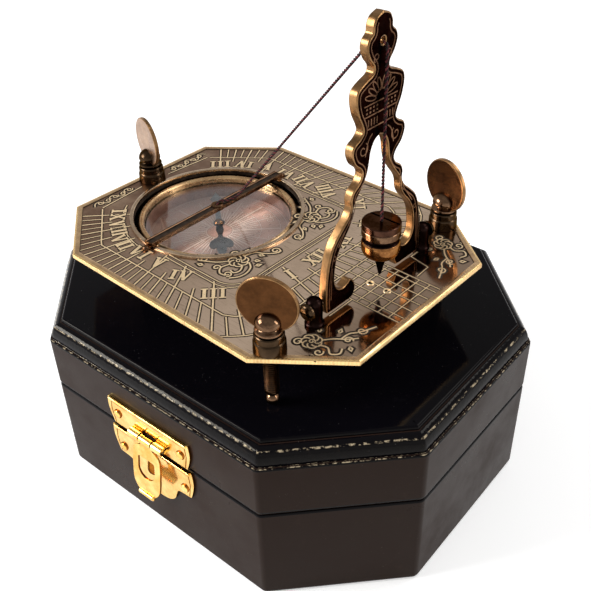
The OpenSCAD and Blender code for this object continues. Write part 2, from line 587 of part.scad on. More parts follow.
module screw_at(i) on_dial() translate([screw_places()[i][0], screw_places()[i][1], 0]) children();

module levelling_screw(i, turn) color(dark_bronze) screw_at(i) rotate(turn) difference() {
    rotate_extrude() polygon(concat([[0, foot_z + 4], [1.5, foot_z + 4], [screw_d / 2 - 0.05, foot_z + 4.6],
        [screw_d / 2 - 0.05, 5.4], [3.5, 5.4], [3.7, 5.7], [3.6, 6.2], [3, 6.6], [2.7, 7], [3.3, 7.4]],
        [for (a = [0:5]) [3.5 * cos(14 * a), 7.8 + 2.9 * sin(14 * a)]], [[0, 10.8]]));
    translate([0, 0, 5.4 + disc_d / 2]) rotate([90, 0, 0])
        cylinder(h = disc_t + 0.04, r = disc_d / 2 + 0.04, center = true, $fn = 64);
}

module thumb_disc(i, turn) color(bronze) screw_at(i) rotate(turn) translate([0, 0, 5.4 + disc_d / 2])
    rotate([90, 0, 0]) rotate_extrude($fn = 64)
        polygon([[0, -disc_t / 2], [disc_d / 2 - 0.25, -disc_t / 2], [disc_d / 2, -disc_t / 2 + 0.25],
            [disc_d / 2, disc_t / 2 - 0.25], [disc_d / 2 - 0.25, disc_t / 2], [0, disc_t / 2]]);

module ball_foot(i) color(dark_bronze) screw_at(i) rotate_extrude($fn = 32)
    polygon(concat([for (a = [0:8]) [1.8 * sin(17.5 * a), foot_z + 1.8 - 1.8 * cos(17.5 * a)]],
        [[1.1, foot_z + 3.6], [1.1, foot_z + 3.97], [0, foot_z + 3.97]]));

module front_screw() levelling_screw(0, front_turn);
module back_screw() levelling_screw(1, back_turn);
module tail_screw() levelling_screw(2, tail_turn);
module front_disc() thumb_disc(0, front_turn);
module back_disc() thumb_disc(1, back_turn);
module tail_disc() thumb_disc(2, tail_turn);
module front_foot() ball_foot(0);
module back_foot() ball_foot(1);
module tail_foot() ball_foot(2);

box_base();
base_lining();
catch_plate();
catch_nails();
base_hinge_leaves();
base_hinge_screws();
box_lid();
lid_lining();
latch_plate();
latch_nails();
hasp_pin();
lid_hinge_leaves();
lid_hinge_screws();
hinge_pins();
hasp();
dial_plate();
screw_bushes();
compass_bowl();
compass_bezel();
compass_glass();
compass_card();
needle_pivot();
compass_needle();
needle_cap();
gnomon_bar();
bar_rivets();
bracket_posts();
pivot_screws();
gnomon_string();
bracket();
string_bend();
pendulum_string();
bob_cap();
bob_body();
front_screw();
back_screw();
tail_screw();
front_disc();
back_disc();
tail_disc();
front_foot();
back_foot();
tail_foot();
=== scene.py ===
"""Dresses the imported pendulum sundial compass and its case: finishes, relief, strings, velvet, stage and camera."""

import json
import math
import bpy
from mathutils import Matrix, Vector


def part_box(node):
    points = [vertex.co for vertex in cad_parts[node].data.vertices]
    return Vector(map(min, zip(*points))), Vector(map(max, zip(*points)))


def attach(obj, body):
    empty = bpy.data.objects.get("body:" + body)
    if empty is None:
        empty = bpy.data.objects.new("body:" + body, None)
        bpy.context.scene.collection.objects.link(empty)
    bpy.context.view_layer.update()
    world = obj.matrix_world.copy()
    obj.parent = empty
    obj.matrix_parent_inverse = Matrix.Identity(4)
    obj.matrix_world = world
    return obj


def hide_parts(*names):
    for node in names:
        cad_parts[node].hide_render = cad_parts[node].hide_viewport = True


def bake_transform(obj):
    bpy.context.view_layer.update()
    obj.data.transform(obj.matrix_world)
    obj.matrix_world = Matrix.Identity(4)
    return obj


bl_info = {
    "name": "Pendulum Sundial Compass",
    "version": (1, 0, 0),
    "blender": (4, 5, 0),
    "location": "3D View > Sidebar > Sundial",
    "description": "Builds the looks of a folding pendulum sundial compass that stands on its lacquered case",
    "category": "Add Mesh",
}

import bmesh
import bpy
from bpy.props import FloatProperty, FloatVectorProperty, IntProperty, PointerProperty
from mathutils import Matrix, Vector

MM = 0.001
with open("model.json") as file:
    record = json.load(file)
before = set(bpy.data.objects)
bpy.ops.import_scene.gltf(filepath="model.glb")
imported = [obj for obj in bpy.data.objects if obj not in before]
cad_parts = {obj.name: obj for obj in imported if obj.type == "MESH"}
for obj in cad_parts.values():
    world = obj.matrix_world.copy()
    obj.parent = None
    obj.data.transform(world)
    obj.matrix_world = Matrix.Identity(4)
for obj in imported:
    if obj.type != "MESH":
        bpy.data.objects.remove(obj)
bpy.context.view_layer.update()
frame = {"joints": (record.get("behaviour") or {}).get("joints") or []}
JOINTS = {j["name"]: j for j in frame["joints"]}


def joint_place(name):
    return Vector(JOINTS[name]["pos_m"])


# The dial's own frame: millimetres, z = 0 at the rim's top, x towards the bracket, y towards the back.
# It is worked out from the three levelling screws, which stand at PAIR_X and -TAIL_X along the plate.
PAIR_X, PAIR_Y, TAIL_X = 36.9, 37.6, 52.8
LIP_Z = 0.45
_tail = joint_place("tail_turn")
_pair = (joint_place("front_turn") + joint_place("back_turn")) / 2
_along = (_pair - _tail).normalized()
_across = Vector((0, 0, 1)).cross(_along)
_middle = _tail + _along * TAIL_X * MM
_middle.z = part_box("dial_plate")[1].z - LIP_Z * MM
DIAL = Matrix.Translation(_middle) @ Matrix((
    (_along.x, _across.x, 0, 0), (_along.y, _across.y, 0, 0), (0, 0, 1, 0), (0, 0, 0, 1))) @ Matrix.Scale(MM, 4)
CASE = Matrix.Scale(MM, 4)

# Places on the dial that its pieces share, in its millimetres
COMPASS_X = -21.4
FIELD_Z = -0.3
PLATE_T = 1.6
RIM_W = 2.1
POST_X, POST_Y = 39.0, 23.3
BRACKET_X, BRACKET_T, HOLE_Z, PIVOT_Z = 39.0, 2.6, 67.6, 5.0
FACE_X = BRACKET_X + BRACKET_T / 2
HANG_X, BOB_Z = FACE_X + 1.5, 20.8
STRING_D = 0.9
FOOT_Z = -18.7
DISC_Z = 13.4


# Sizes and colours that a user may change


class CaseSizes(bpy.types.PropertyGroup):
    """Sizes of the case's outline and walls"""

    length: FloatProperty(name="Length", description="Length of the case along X", default=0.1435, unit="LENGTH")
    width: FloatProperty(name="Width", description="Width of the case along Y", default=0.1174, unit="LENGTH")
    cut: FloatProperty(name="Corner cut", description="Length cut off each corner", default=0.0306, unit="LENGTH")
    corner: FloatProperty(name="Corner radius", description="Rounding of the upright edges", default=0.0026,
                          unit="LENGTH")
    wall: FloatProperty(name="Wall", description="Thickness of the wooden walls", default=0.006, unit="LENGTH")


class DialSizes(bpy.types.PropertyGroup):
    """Sizes of the dial plate and what is raised on it"""

    length: FloatProperty(name="Length", description="Length of the dial plate", default=0.1143, unit="LENGTH")
    width: FloatProperty(name="Width", description="Width of the dial plate", default=0.0889, unit="LENGTH")
    cut_x: FloatProperty(name="Cut along", description="Cut corner along the length", default=0.02175, unit="LENGTH")
    cut_y: FloatProperty(name="Cut across", description="Cut corner across the width", default=0.0171, unit="LENGTH")
    line: FloatProperty(name="Line", description="Width of the raised scale lines", default=0.00036, unit="LENGTH")
    rise: FloatProperty(name="Rise", description="Height of the raised lines above the field", default=0.0002,
                        unit="LENGTH")
    numeral: FloatProperty(name="Numerals", description="Height of the hour numerals", default=0.0046, unit="LENGTH")
    hour_step: FloatProperty(name="Hour step", description="Angle between two hour lines", default=math.radians(15),
                             unit="ROTATION")


class FittingSizes(bpy.types.PropertyGroup):
    """Sizes of the screws, the bracket's edges and the string"""

    pitch: FloatProperty(name="Pitch", description="Pitch of the levelling screws", default=0.0007, unit="LENGTH")
    thread: FloatProperty(name="Thread", description="Outer diameter of the thread", default=0.00388, unit="LENGTH")
    edge: FloatProperty(name="Edge", description="Worn rounding of the bracket's edges", default=0.00055,
                        unit="LENGTH")
    lay: FloatProperty(name="Lay", description="Length of one turn of the twisted string", default=0.0019,
                       unit="LENGTH")
    turns: IntProperty(name="Ring steps", description="Steps round the compass bowl", default=96, min=24, max=160)


def colour(name, about, value):
    return FloatVectorProperty(name=name, description=about, subtype="COLOR", size=3, min=0, max=1, default=value)


class FinishColours(bpy.types.PropertyGroup):
    """Base colours of the finishes"""

    lacquer: colour("Lacquer", "Black lacquer on the case", (0.0025, 0.0022, 0.0035))
    lacquer_side: colour("Lacquer, sides", "Satin lacquer on the case's sides", (0.0215, 0.0118, 0.0088))
    velvet: colour("Velvet", "Velvet lining", (0.16, 0.008, 0.025))
    brass: colour("Latch brass", "Bright stamped brass", (1.0, 0.73, 0.26))
    field: colour("Dial field", "Aged field of the dial", (0.46, 0.32, 0.21))
    raised: colour("Raised lines", "Polished tops of the raised lines", (0.90, 0.67, 0.39))
    # This colour is partly tarnish and partly painted shade: the bands beside the raised lines and the walls of holes
    # and grooves
    patina: colour("Patina", "Dark patina in the corners", (0.016, 0.0105, 0.0072))
    rim: colour("Rim", "Worn gold of the dial's rim", (0.86, 0.56, 0.24))
    bronze: colour("Brown bronze", "Browned bronze of bracket, bob and screws", (0.056, 0.034, 0.019))
    worn: colour("Worn bronze", "Worn edges of the browned bronze", (0.35, 0.19, 0.08))
    disc: colour("Thumb discs", "Polished bronze of the thumb discs", (0.090, 0.036, 0.012))
    card: colour("Compass card", "Embossed copper card", (0.86, 0.49, 0.38))
    steel: colour("Needle", "Grey steel of the needle", (0.16, 0.165, 0.17))
    string_red: colour("String, red ply", "Dark red ply of the string", (0.115, 0.024, 0.026))
    string_dark: colour("String, dark ply", "Near black ply of the string", (0.022, 0.014, 0.014))


class StageSettings(bpy.types.PropertyGroup):
    """Light and camera"""

    key: FloatProperty(name="Key light", description="Power of the key light", default=10.5, unit="POWER")
    fill: FloatProperty(name="Fill light", description="Power of the fill light", default=3.0, unit="POWER")
    sky: FloatProperty(name="Sky", description="Strength of the even light from all round", default=0.34, min=0, max=1)
    ceiling: FloatProperty(name="Ceiling", description="Strength of the ceiling that metal and glass reflect",
                           default=0.5, min=0, max=1)
    floor: FloatProperty(name="Floor", description="White added to the floor as the camera sees it", default=0.42,
                         min=0, max=1)
    lens: FloatProperty(name="Lens", description="Focal length of the camera", default=50.85, unit="CAMERA")
    azimuth: FloatProperty(name="Azimuth", description="Turn of the camera round the object",
                           default=math.radians(39.65), unit="ROTATION")
    elevation: FloatProperty(name="Elevation", description="Height of the camera above the horizon",
                             default=math.radians(35.39), unit="ROTATION")
    roll: FloatProperty(name="Roll", description="Roll of the camera", default=math.radians(-1.13), unit="ROTATION")


# Outlines and curves in the plane, in millimetres


def cut_rect(hx, hy, cx, cy, inset=0.0):
    """Eight corners of a rectangle with its corners cut off, drawn in by inset."""
    length = math.hypot(cx, cy)
    nx, ny = cy / length, cx / length
    k = nx * hx + ny * (hy - cy) - inset
    x, y = hx - inset, hy - inset
    ye, xe = (k - nx * x) / ny, (k - ny * y) / nx
    return [(x, -ye), (x, ye), (xe, y), (-xe, y), (-x, ye), (-x, -ye), (-xe, -y), (xe, -y)]


def rounded(points, radius, steps):
    """Corners of a convex outline rounded to a radius."""
    out, n = [], len(points)
    for i in range(n):
        a, b, c = (Vector(points[(i + k) % n]) for k in (-1, 0, 1))
        u, v = (a - b).normalized(), (c - b).normalized()
        half = math.acos(max(-1, min(1, u.dot(v)))) / 2
        middle = b + (u + v).normalized() * radius / math.sin(half)
        start, end = b + u * radius / math.tan(half) - middle, b + v * radius / math.tan(half) - middle
        turn = start.angle_signed(end)
        for k in range(steps + 1):
            out.append(tuple(middle + Matrix.Rotation(-turn * k / steps, 2) @ start))
    return out


def spline(points, steps):
    """A smooth curve through the points."""
    p = [Vector(q) for q in points]
    out = []
    for i in range(len(p) - 1):
        a, b, c, d = p[max(i - 1, 0)], p[i], p[i + 1], p[min(i + 2, len(p) - 1)]
        for k in range(steps):
            t = k / steps
            out.append(0.5 * (2 * b + (c - a) * t + (2 * a - 5 * b + 4 * c - d) * t * t
                              + (3 * b - a - 3 * c + d) * t ** 3))
    return [tuple(q) for q in out] + [tuple(p[-1])]


def arc(cx, cy, r, start, end, steps):
    """Points of an arc between two angles in degrees."""
    angles = [math.radians(start + (end - start) * k / steps) for k in range(steps + 1)]
    return [(cx + r * math.cos(a), cy + r * math.sin(a)) for a in angles]


def circle(cx, cy, r, steps):
    return arc(cx, cy, r, 0, 360, steps)[:-1]


def oval(cx, cy, rx, ry, degrees):
    """Points of an ellipse at the given angles."""
    return [(cx + rx * math.cos(math.radians(a)), cy + ry * math.sin(math.radians(a))) for a in degrees]


def spiral(cx, cy, r0, r1, start, end, steps=22):
    """Points of a spiral whose radius goes from r0 to r1 between two angles in degrees."""
    out = []
    for k in range(steps + 1):
        t = k / steps
        a, r = math.radians(start + (end - start) * t), r0 + (r1 - r0) * t
        out.append((cx + r * math.cos(a), cy + r * math.sin(a)))
    return out


def leaf(middle, along, reach, half, steps):
    """A closed pointed oval round its middle."""
    across = Vector((-along.y, along.x))
    return [tuple(middle + along * reach * math.cos(t) + across * half * math.sin(t))
            for t in (math.tau * k / steps for k in range(steps + 1))]


def flipped(path):
    return [(x, -y) for x, y in path]


def both_sides(paths):
    return paths + [flipped(p) for p in paths]


def at_height(path, z):
    return [(x, y, z) for x, y in path]


# Mesh tools


def new_loop(bm, points):
    """A closed loop of edges through the points."""
    verts = [bm.verts.new(p) for p in points]
    return [bm.edges.new((verts[i], verts[(i + 1) % len(verts)])) for i in range(len(verts))]


def bridge_rings(bm, rings, cap_first=True, cap_last=True):
    """Skins a list of rings of equal count, each a closed list of points, and caps its ends."""
    loops = [new_loop(bm, r) for r in rings]
    for a, b in zip(loops, loops[1:]):
        bmesh.ops.bridge_loops(bm, edges=a + b)
    for wanted, loop in ((cap_first, loops[0]), (cap_last, loops[-1])):
        if wanted:
            bmesh.ops.edgeloop_fill(bm, edges=loop)
    bmesh.ops.recalc_face_normals(bm, faces=bm.faces)
    return loops


# Turns of a drawing in the plane: upright and facing along -Y, or upright and facing along X
UPRIGHT = Matrix.Rotation(math.radians(90), 4, "X")
ON_EDGE_X = Matrix(((0, 0, 1, 0), (1, 0, 0, 0), (0, 1, 0, 0), (0, 0, 0, 1)))


def extruded(bm, outline, low, high, axis="Z"):
    """A solid with a flat outline, between two heights along an axis. Returns its new faces."""
    known = set(bm.faces)
    face = bm.faces.new([bm.verts.new((x, y, low)) for x, y in outline])
    top = bmesh.ops.extrude_face_region(bm, geom=[face])["geom"]
    moved = [v for v in top if isinstance(v, bmesh.types.BMVert)]
    bmesh.ops.translate(bm, verts=moved, vec=(0, 0, high - low))
    faces = fresh(bm, known)
    bmesh.ops.recalc_face_normals(bm, faces=faces)
    turn = {"X": ON_EDGE_X, "Y": UPRIGHT, "Z": Matrix.Identity(4)}[axis]
    bmesh.ops.transform(bm, matrix=turn, verts=verts_of(faces))
    return faces


def fresh(bm, known):
    return [f for f in bm.faces if f not in known]


def verts_of(faces):
    return list({v for f in faces for v in f.verts})


def everything(bm):
    return bm.verts[:] + bm.edges[:] + bm.faces[:]


def paint(faces, choose):
    """Gives each face the finish whose number is chosen from its normal and its middle."""
    for f in faces:
        f.material_index = choose(f.normal, f.calc_center_median())


def bevel_sharp(bm, width, sharpest, segments, faces=None):
    """Rounds every edge that is sharper than an angle in degrees."""
    pool = {e for f in faces for e in f.edges} if faces else bm.edges
    sharp = [e for e in pool if e.is_manifold and e.calc_face_angle(0) > math.radians(sharpest)]
    bmesh.ops.bevel(bm, geom=sharp, offset=width, offset_type="OFFSET", segments=segments, profile=0.5,
                    affect="EDGES", material=-1, clamp_overlap=True)


def mirrored_solid(bm, half, low, high, axis, across):
    """A flat solid made from half of its outline and the mirror image of that."""
    extruded(bm, half, low, high, axis)
    side = "XYZ".index(across)
    seam = [f for f in bm.faces if all(abs(v.co[side]) < 1e-5 for v in f.verts)]
    bmesh.ops.delete(bm, geom=seam, context="FACES")
    bmesh.ops.mirror(bm, geom=everything(bm), axis=across, merge_dist=1e-4)
    bmesh.ops.remove_doubles(bm, verts=bm.verts, dist=1e-4)
    bmesh.ops.recalc_face_normals(bm, faces=bm.faces)


def turned(bm, profile, centre, steps, axis=(0, 0, 1)):
    """Adds a lathe's work: (radius, height) pairs swept all the way round."""
    known = set(bm.verts)
    verts = [bm.verts.new((r, 0, z)) for r, z in profile]
    edges = [bm.edges.new(pair) for pair in zip(verts, verts[1:])]
    bmesh.ops.spin(bm, geom=verts + edges, cent=(0, 0, 0), axis=(0, 0, 1), angle=math.tau, steps=steps,
                   use_merge=True, use_duplicate=False)
    bmesh.ops.remove_doubles(bm, verts=[v for v in bm.verts if v not in known], dist=1e-4)
    made = [v for v in bm.verts if v not in known]
    bmesh.ops.recalc_face_normals(bm, faces=list({f for v in made for f in v.link_faces}))
    turn = Vector((0, 0, 1)).rotation_difference(Vector(axis)).to_matrix().to_4x4()
    bmesh.ops.transform(bm, matrix=Matrix.Translation(centre) @ turn, verts=made)


def sleeve(bore, radius, chamfer, length):
    """Profile of a knuckle with chamfered ends."""
    return [(bore, 0), (radius - chamfer, 0), (radius, chamfer), (radius, length - chamfer),
            (radius - chamfer, length), (bore, length), (bore, 0)]


def ribbon(bm, path, width, z):
    """Flat faces along a path, which the relief is raised from."""
    pts = [Vector(p) for p in path]
    left, right = [], []
    for i, p in enumerate(pts):
        before = (p - pts[i - 1]).normalized() if i else None
        after = (pts[i + 1] - p).normalized() if i < len(pts) - 1 else None
        before, after = before or after, after or before
        side = Vector((-(before + after).y, (before + after).x)).normalized()
        mitre = min(1.6, 1 / max(0.3, side.dot(Vector((-after.y, after.x)))))
        left.append(bm.verts.new((*(p + side * width / 2 * mitre), z)))
        right.append(bm.verts.new((*(p - side * width / 2 * mitre), z)))
    return [bm.faces.new((right[i], right[i + 1], left[i + 1], left[i])) for i in range(len(pts) - 1)]


SLOPE = 0.12  # how far a raised line's sides lean in, as a share of its width


def raise_lines(bm, lines, rise, z):
    """Raised lines from (path, width) pairs, with the second finish on their sloping sides."""
    faces = [f for path, width in lines for f in ribbon(bm, path, width, z)]
    sides = bmesh.ops.inset_region(bm, faces=faces, use_boundary=True, use_even_offset=True,
                                   thickness=min(width for _, width in lines) * SLOPE, depth=rise)["faces"]
    for group, number in ((faces, 0), (sides, 1)):
        for f in group:
            f.material_index = number


def mesh_object(bm, name, place, finishes):
    """Puts a bmesh into an object at the origin, with its place in its mesh."""
    bmesh.ops.transform(bm, matrix=place, verts=bm.verts)
    mesh = bpy.data.meshes.new(name)
    bm.to_mesh(mesh)
    bm.free()
    for finish in finishes:
        mesh.materials.append(FINISH[finish])
    mesh.shade_smooth()
    obj = bpy.data.objects.new(name, mesh)
    bpy.context.scene.collection.objects.link(obj)
    return obj


def add_piece(bm, name, body, finishes, stands_for=(), place=DIAL):
    """Turns a bmesh into a finished piece that rides on a body."""
    obj = mesh_object(bm, name, place, finishes)
    obj.data.set_sharp_from_angle(angle=math.radians(32))
    obj.modifiers.new("flat faces", "WEIGHTED_NORMAL").keep_sharp = True
    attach(obj, body)
    if stands_for:
        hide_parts(*stands_for)
    return obj


def turned_piece(name, body, finish, profile, centre, steps, stands_for=(), place=DIAL, axis=(0, 0, 1)):
    """A piece that is one lathe's work in one finish."""
    bm = bmesh.new()
    turned(bm, profile, centre, steps, axis)
    add_piece(bm, name, body, (finish,), stands_for, place)


def mm(value):
    return value / MM


# Finishes: procedural, on object coordinates in metres


FINISH = {}


class Finish:
    """Builds one material around a Principled shader, and enters it by its name."""

    def __init__(self, name, **values):
        FINISH[name] = material = bpy.data.materials.new(name)
        material.use_nodes = True
        self.nodes, self.links = material.node_tree.nodes, material.node_tree.links
        self.shader = self.nodes["Principled BSDF"]
        for key, value in values.items():
            self.shader.inputs[key.replace("_", " ")].default_value = value
        self.place = self.nodes.new("ShaderNodeTexCoord").outputs["Object"]

    def link(self, value, socket):
        if hasattr(value, "is_linked"):
            self.links.new(value, socket)
        elif socket.type == "RGBA" and len(value) == 3:
            socket.default_value = (*value, 1)
        else:
            socket.default_value = value

    def put(self, kind, inputs, outputs=0, **settings):
        node = self.nodes.new(kind)
        for key, value in settings.items():
            setattr(node, key, value)
        for key, value in inputs.items():
            self.link(value, node.inputs[key])
        return node.outputs[outputs]

    def stretched(self, scale, turn=0.0):
        """Object coordinates turned about Z and stretched."""
        return self.put("ShaderNodeMapping", {"Vector": self.place, "Scale": scale, "Rotation": (0, 0, turn)})

    def noise(self, scale, detail=4.0, rough=0.55, place=None, distortion=0.0):
        return self.put("ShaderNodeTexNoise", {"Vector": place or self.place, "Scale": scale, "Detail": detail,
                                               "Roughness": rough, "Distortion": distortion})

    def cells(self, scale):
        return self.put("ShaderNodeTexVoronoi", {"Vector": self.place, "Scale": scale})

    def span(self, value, low, high, to_low=0.0, to_high=1.0):
        return self.put("ShaderNodeMapRange", {"Value": value, "From Min": low, "From Max": high,
                                               "To Min": to_low, "To Max": to_high}, interpolation_type="SMOOTHSTEP")

    def math(self, how, a, b=0.0):
        return self.put("ShaderNodeMath", {0: a, 1: b}, operation=how)

    def mix(self, how_much, a, b):
        node = self.nodes.new("ShaderNodeMix")
        node.data_type = "RGBA"
        for key, kind, value in (("Factor", "VALUE", how_much), ("A", "RGBA", a), ("B", "RGBA", b)):
            self.link(value, next(s for s in node.inputs if s.name == key and s.type == kind))
        return next(s for s in node.outputs if s.type == "RGBA")

    def axis(self, which):
        node = self.nodes.new("ShaderNodeSeparateXYZ")
        self.links.new(self.place, node.inputs[0])
        return node.outputs[which]

    def colour(self, value):
        self.link(value, self.shader.inputs["Base Color"])

    def rough(self, value):
        self.link(value, self.shader.inputs["Roughness"])

    def bump(self, *heights, strength=0.5):
        """Stacks bumps, each given as (height socket, distance in metres)."""
        normal = None
        for height, distance in heights:
            inputs = {"Height": height, "Distance": distance, "Strength": strength}
            if normal:
                inputs["Normal"] = normal
            normal = self.put("ShaderNodeBump", inputs)
        self.links.new(normal, self.shader.inputs["Normal"])


def lighter(c, k):
    return tuple(min(1.0, v * k) for v in c)


def metal(name, base, low, high, roughness, grain=900.0, wear=0.3, metallic=1.0, bump=0.00001,
          streak=None, edge=1.0):
    """A worn metal: patches of a darker and a lighter tone, fine grain and soft dents."""
    tint = (edge, edge * 0.9, edge * 0.8, 1) if edge < 1 else (1, 1, 1, 1)
    f = Finish(name, Metallic=metallic, Specular_Tint=tint)
    patches = f.noise(220.0, 6.0, 0.62)
    place = f.stretched(streak) if streak else None
    fine = f.noise(grain, 5.0, 0.65, place)
    tone = f.mix(f.span(patches, 0.3, 0.72), low, high)
    tone = f.mix(f.math("MULTIPLY", f.span(fine, 0.45, 0.75), wear), tone, base)
    f.colour(tone)
    f.rough(f.math("ADD", f.span(f.noise(420.0, 5.0), 0.3, 0.7, roughness * 0.8, roughness * 1.2),
                   f.span(fine, 0.3, 0.7, -0.02, 0.03)))
    f.bump((f.noise(130.0, 3.0), bump * 3), (fine, bump), strength=0.5)
    return f


def make_finishes(c):
    """Every finish of the object, by name."""
    # Gloss lacquer on top of the lid, a shinier moulding that breaks up its highlight, warm satin sides
    for name, tone, worn, rough, level in (("lacquer", c.lacquer_side, (0.046, 0.027, 0.02), 0.36, 0.056),
                                           ("lacquer_top", c.lacquer, (0.012, 0.011, 0.013), 0.1, 0.06),
                                           ("lacquer_moulding", c.lacquer, (0.03, 0.02, 0.014), 0.1, 0.09)):
        f = Finish(name, Metallic=0.0, Specular_IOR_Level=level, Specular_Tint=(1.0, 0.93, 0.80, 1))
        smudge = f.noise(38.0, 6.0, 0.62)
        dust = f.span(f.cells(900.0), 0.0, 0.14, 1.0, 0.0)
        dust = f.math("MULTIPLY", dust, f.span(f.noise(160.0, 3.0), 0.52, 0.7))
        rubbed = f.span(f.noise(260.0, 7.0, 0.7), 0.56, 0.8)
        tone = f.mix(f.math("MULTIPLY", rubbed, 0.35), tuple(tone), worn)
        tone = f.mix(f.math("MULTIPLY", dust, 0.5), tone, (0.30, 0.28, 0.27))
        if name == "lacquer_moulding":
            # Painted highlight: pale broken lines along three of the moulding's ridges, where the lamps' highlight
            # falls on them
            height, bands = f.axis("Z"), 0.0
            for ridge, half in ((0.0549, 0.0003), (0.05683, 0.00016), (0.05078, 0.00011)):
                near = f.math("ABSOLUTE", f.math("SUBTRACT", height, ridge))
                bands = f.math("MAXIMUM", bands, f.span(near, half * 0.4, half, 0.75, 0.0))
            highlight_specks = f.span(f.noise(620.0, 2.5, 0.6, f.stretched((1.0, 1.0, 2.0))), 0.47, 0.62)
            tone = f.mix(f.math("MULTIPLY", bands, highlight_specks), tone, (0.62, 0.50, 0.33))
        f.colour(tone)
        f.rough(f.span(smudge, 0.35, 0.7, rough * 0.75, rough * 1.3))
        if name == "lacquer_moulding":
            f.bump((f.noise(22.0, 3.0), 0.0002), (f.noise(900.0, 2.0, 0.5), 0.0001), strength=0.6)
        else:
            grain = f.noise(60.0, 5.0, 0.6, f.stretched((6.0, 6.0, 60.0)))
            f.bump((f.noise(22.0, 3.0), 0.0002), (grain, 0.00002), strength=0.4)

    f = Finish("raw_wood", Metallic=0.0)
    fibres = f.stretched((2.0, 30.0, 30.0))
    f.colour(f.mix(f.noise(55.0, 6.0, 0.6, fibres), (0.045, 0.024, 0.015), (0.10, 0.055, 0.032)))
    f.rough(0.62)
    f.bump((f.noise(90.0, 5.0, 0.6, fibres), 0.0001), strength=0.4)

    f = Finish("velvet", Metallic=0.0, Sheen_Weight=0.8, Sheen_Roughness=0.35)
    pile = f.noise(5200.0, 3.0)
    crushed = f.noise(60.0, 5.0, 0.6)
    f.colour(f.mix(f.span(crushed, 0.35, 0.7), tuple(c.velvet), lighter(tuple(c.velvet), 2.1)))
    f.rough(0.9)
    f.bump((crushed, 0.0005), (pile, 0.0001), strength=0.7)

    # Stamped brass of the latch: bright, a little wavy, with orange-brown tarnish and hair scratches
    brass = tuple(c.brass)
    metal("brass", lighter(brass, 1.05), (0.84, 0.43, 0.075), brass, 0.13, grain=2200.0, bump=0.000009)
    # Painted shade: dark orange-brown brass for the latch's side and under walls, its tongue, the links behind the
    # knuckles, the hasp's window and round the nails
    metal("brass_painted_shade", (0.58, 0.23, 0.032), (0.24, 0.07, 0.01), (0.44, 0.16, 0.022), 0.18, grain=1800.0, edge=0.5)
    metal("hinge_brass", lighter(brass, 0.8), (0.42, 0.23, 0.07), lighter(brass, 0.72), 0.3, grain=1500.0)
    metal("dark_pin", (0.20, 0.13, 0.06), (0.05, 0.035, 0.02), (0.16, 0.10, 0.05), 0.4)

    # Dial: browner and duller towards the compass end, paler and polished towards the bracket
    field = tuple(c.field)
    f = Finish("field", Metallic=1.0)
    along = f.span(f.axis("X"), -0.058, 0.03)
    clouds = f.noise(80.0, 6.0, 0.6)
    streaks = f.noise(170.0, 6.0, 0.6, f.stretched((1.0, 9.0, 1.0), 0.5), 0.6)
    tone = f.mix(along, (0.175, 0.088, 0.046), (0.78, 0.58, 0.42))
    # Painted shadow and reflection: darker at the bracket's end, where the bracket's shadow and dark reflection fall
    # on the field
    tone = f.mix(f.span(f.axis("X"), 0.026, 0.046), tone, (0.37, 0.255, 0.175))
    aged = f.math("SUBTRACT", 0.62, f.math("MULTIPLY", along, 0.3))
    tone = f.mix(f.math("MULTIPLY", f.span(clouds, 0.42, 0.7), aged), tone, field)
    tone = f.mix(f.math("MULTIPLY", f.span(streaks, 0.5, 0.74), 0.4), tone, (0.17, 0.11, 0.07))
    f.colour(tone)
    f.rough(f.math("SUBTRACT", f.span(clouds, 0.3, 0.7, 0.32, 0.4), f.math("MULTIPLY", along, 0.26)))
    f.bump((clouds, 0.00004), (f.noise(1500.0, 4.0), 0.000004), strength=0.5)

    raised = tuple(c.raised)
    metal("raised", lighter(raised, 1.1), lighter(raised, 0.8), raised, 0.3, grain=2600.0, metallic=0.45)
    # The raised lines' sloping sides are near black: partly tarnish, partly painted shade
    metal("raised_side", (0.045, 0.026, 0.016), (0.02, 0.012, 0.008), (0.05, 0.03, 0.018), 0.5, grain=2200.0,
          metallic=0.5)
    # Partly tarnish, partly painted shade: beside the raised lines, in the holes, on the rim's inner edge and in the
    # bar's channel
    f = Finish("patina", Metallic=0.0, Roughness=0.75, Specular_IOR_Level=0.12)
    f.colour(f.mix(f.span(f.noise(700.0, 5.0), 0.35, 0.7), tuple(c.patina), lighter(tuple(c.patina), 3.0)))

    # Rim: polished, with fine cross ribs on its outer edge
    rim = tuple(c.rim)
    f = Finish("rim", Metallic=1.0)
    ribs = f.put("ShaderNodeTexWave", {"Vector": f.stretched((1.0, 0.35, 0.0)), "Scale": 420.0, "Distortion": 2.0,
                                       "Detail": 2.0, "Detail Scale": 2.0}, 1, wave_type="BANDS")
    worn = f.noise(200.0, 5.0, 0.6)
    tone = f.mix(f.math("MULTIPLY", f.span(worn, 0.45, 0.75), 0.6), rim, (0.26, 0.14, 0.06))
    tone = f.mix(f.math("MULTIPLY", f.span(ribs, 0.2, 0.8), 0.3), tone, (1.0, 0.76, 0.36))
    f.colour(tone)
    f.rough(f.span(worn, 0.3, 0.7, 0.2, 0.34))
    f.bump((ribs, 0.00004), strength=0.6)

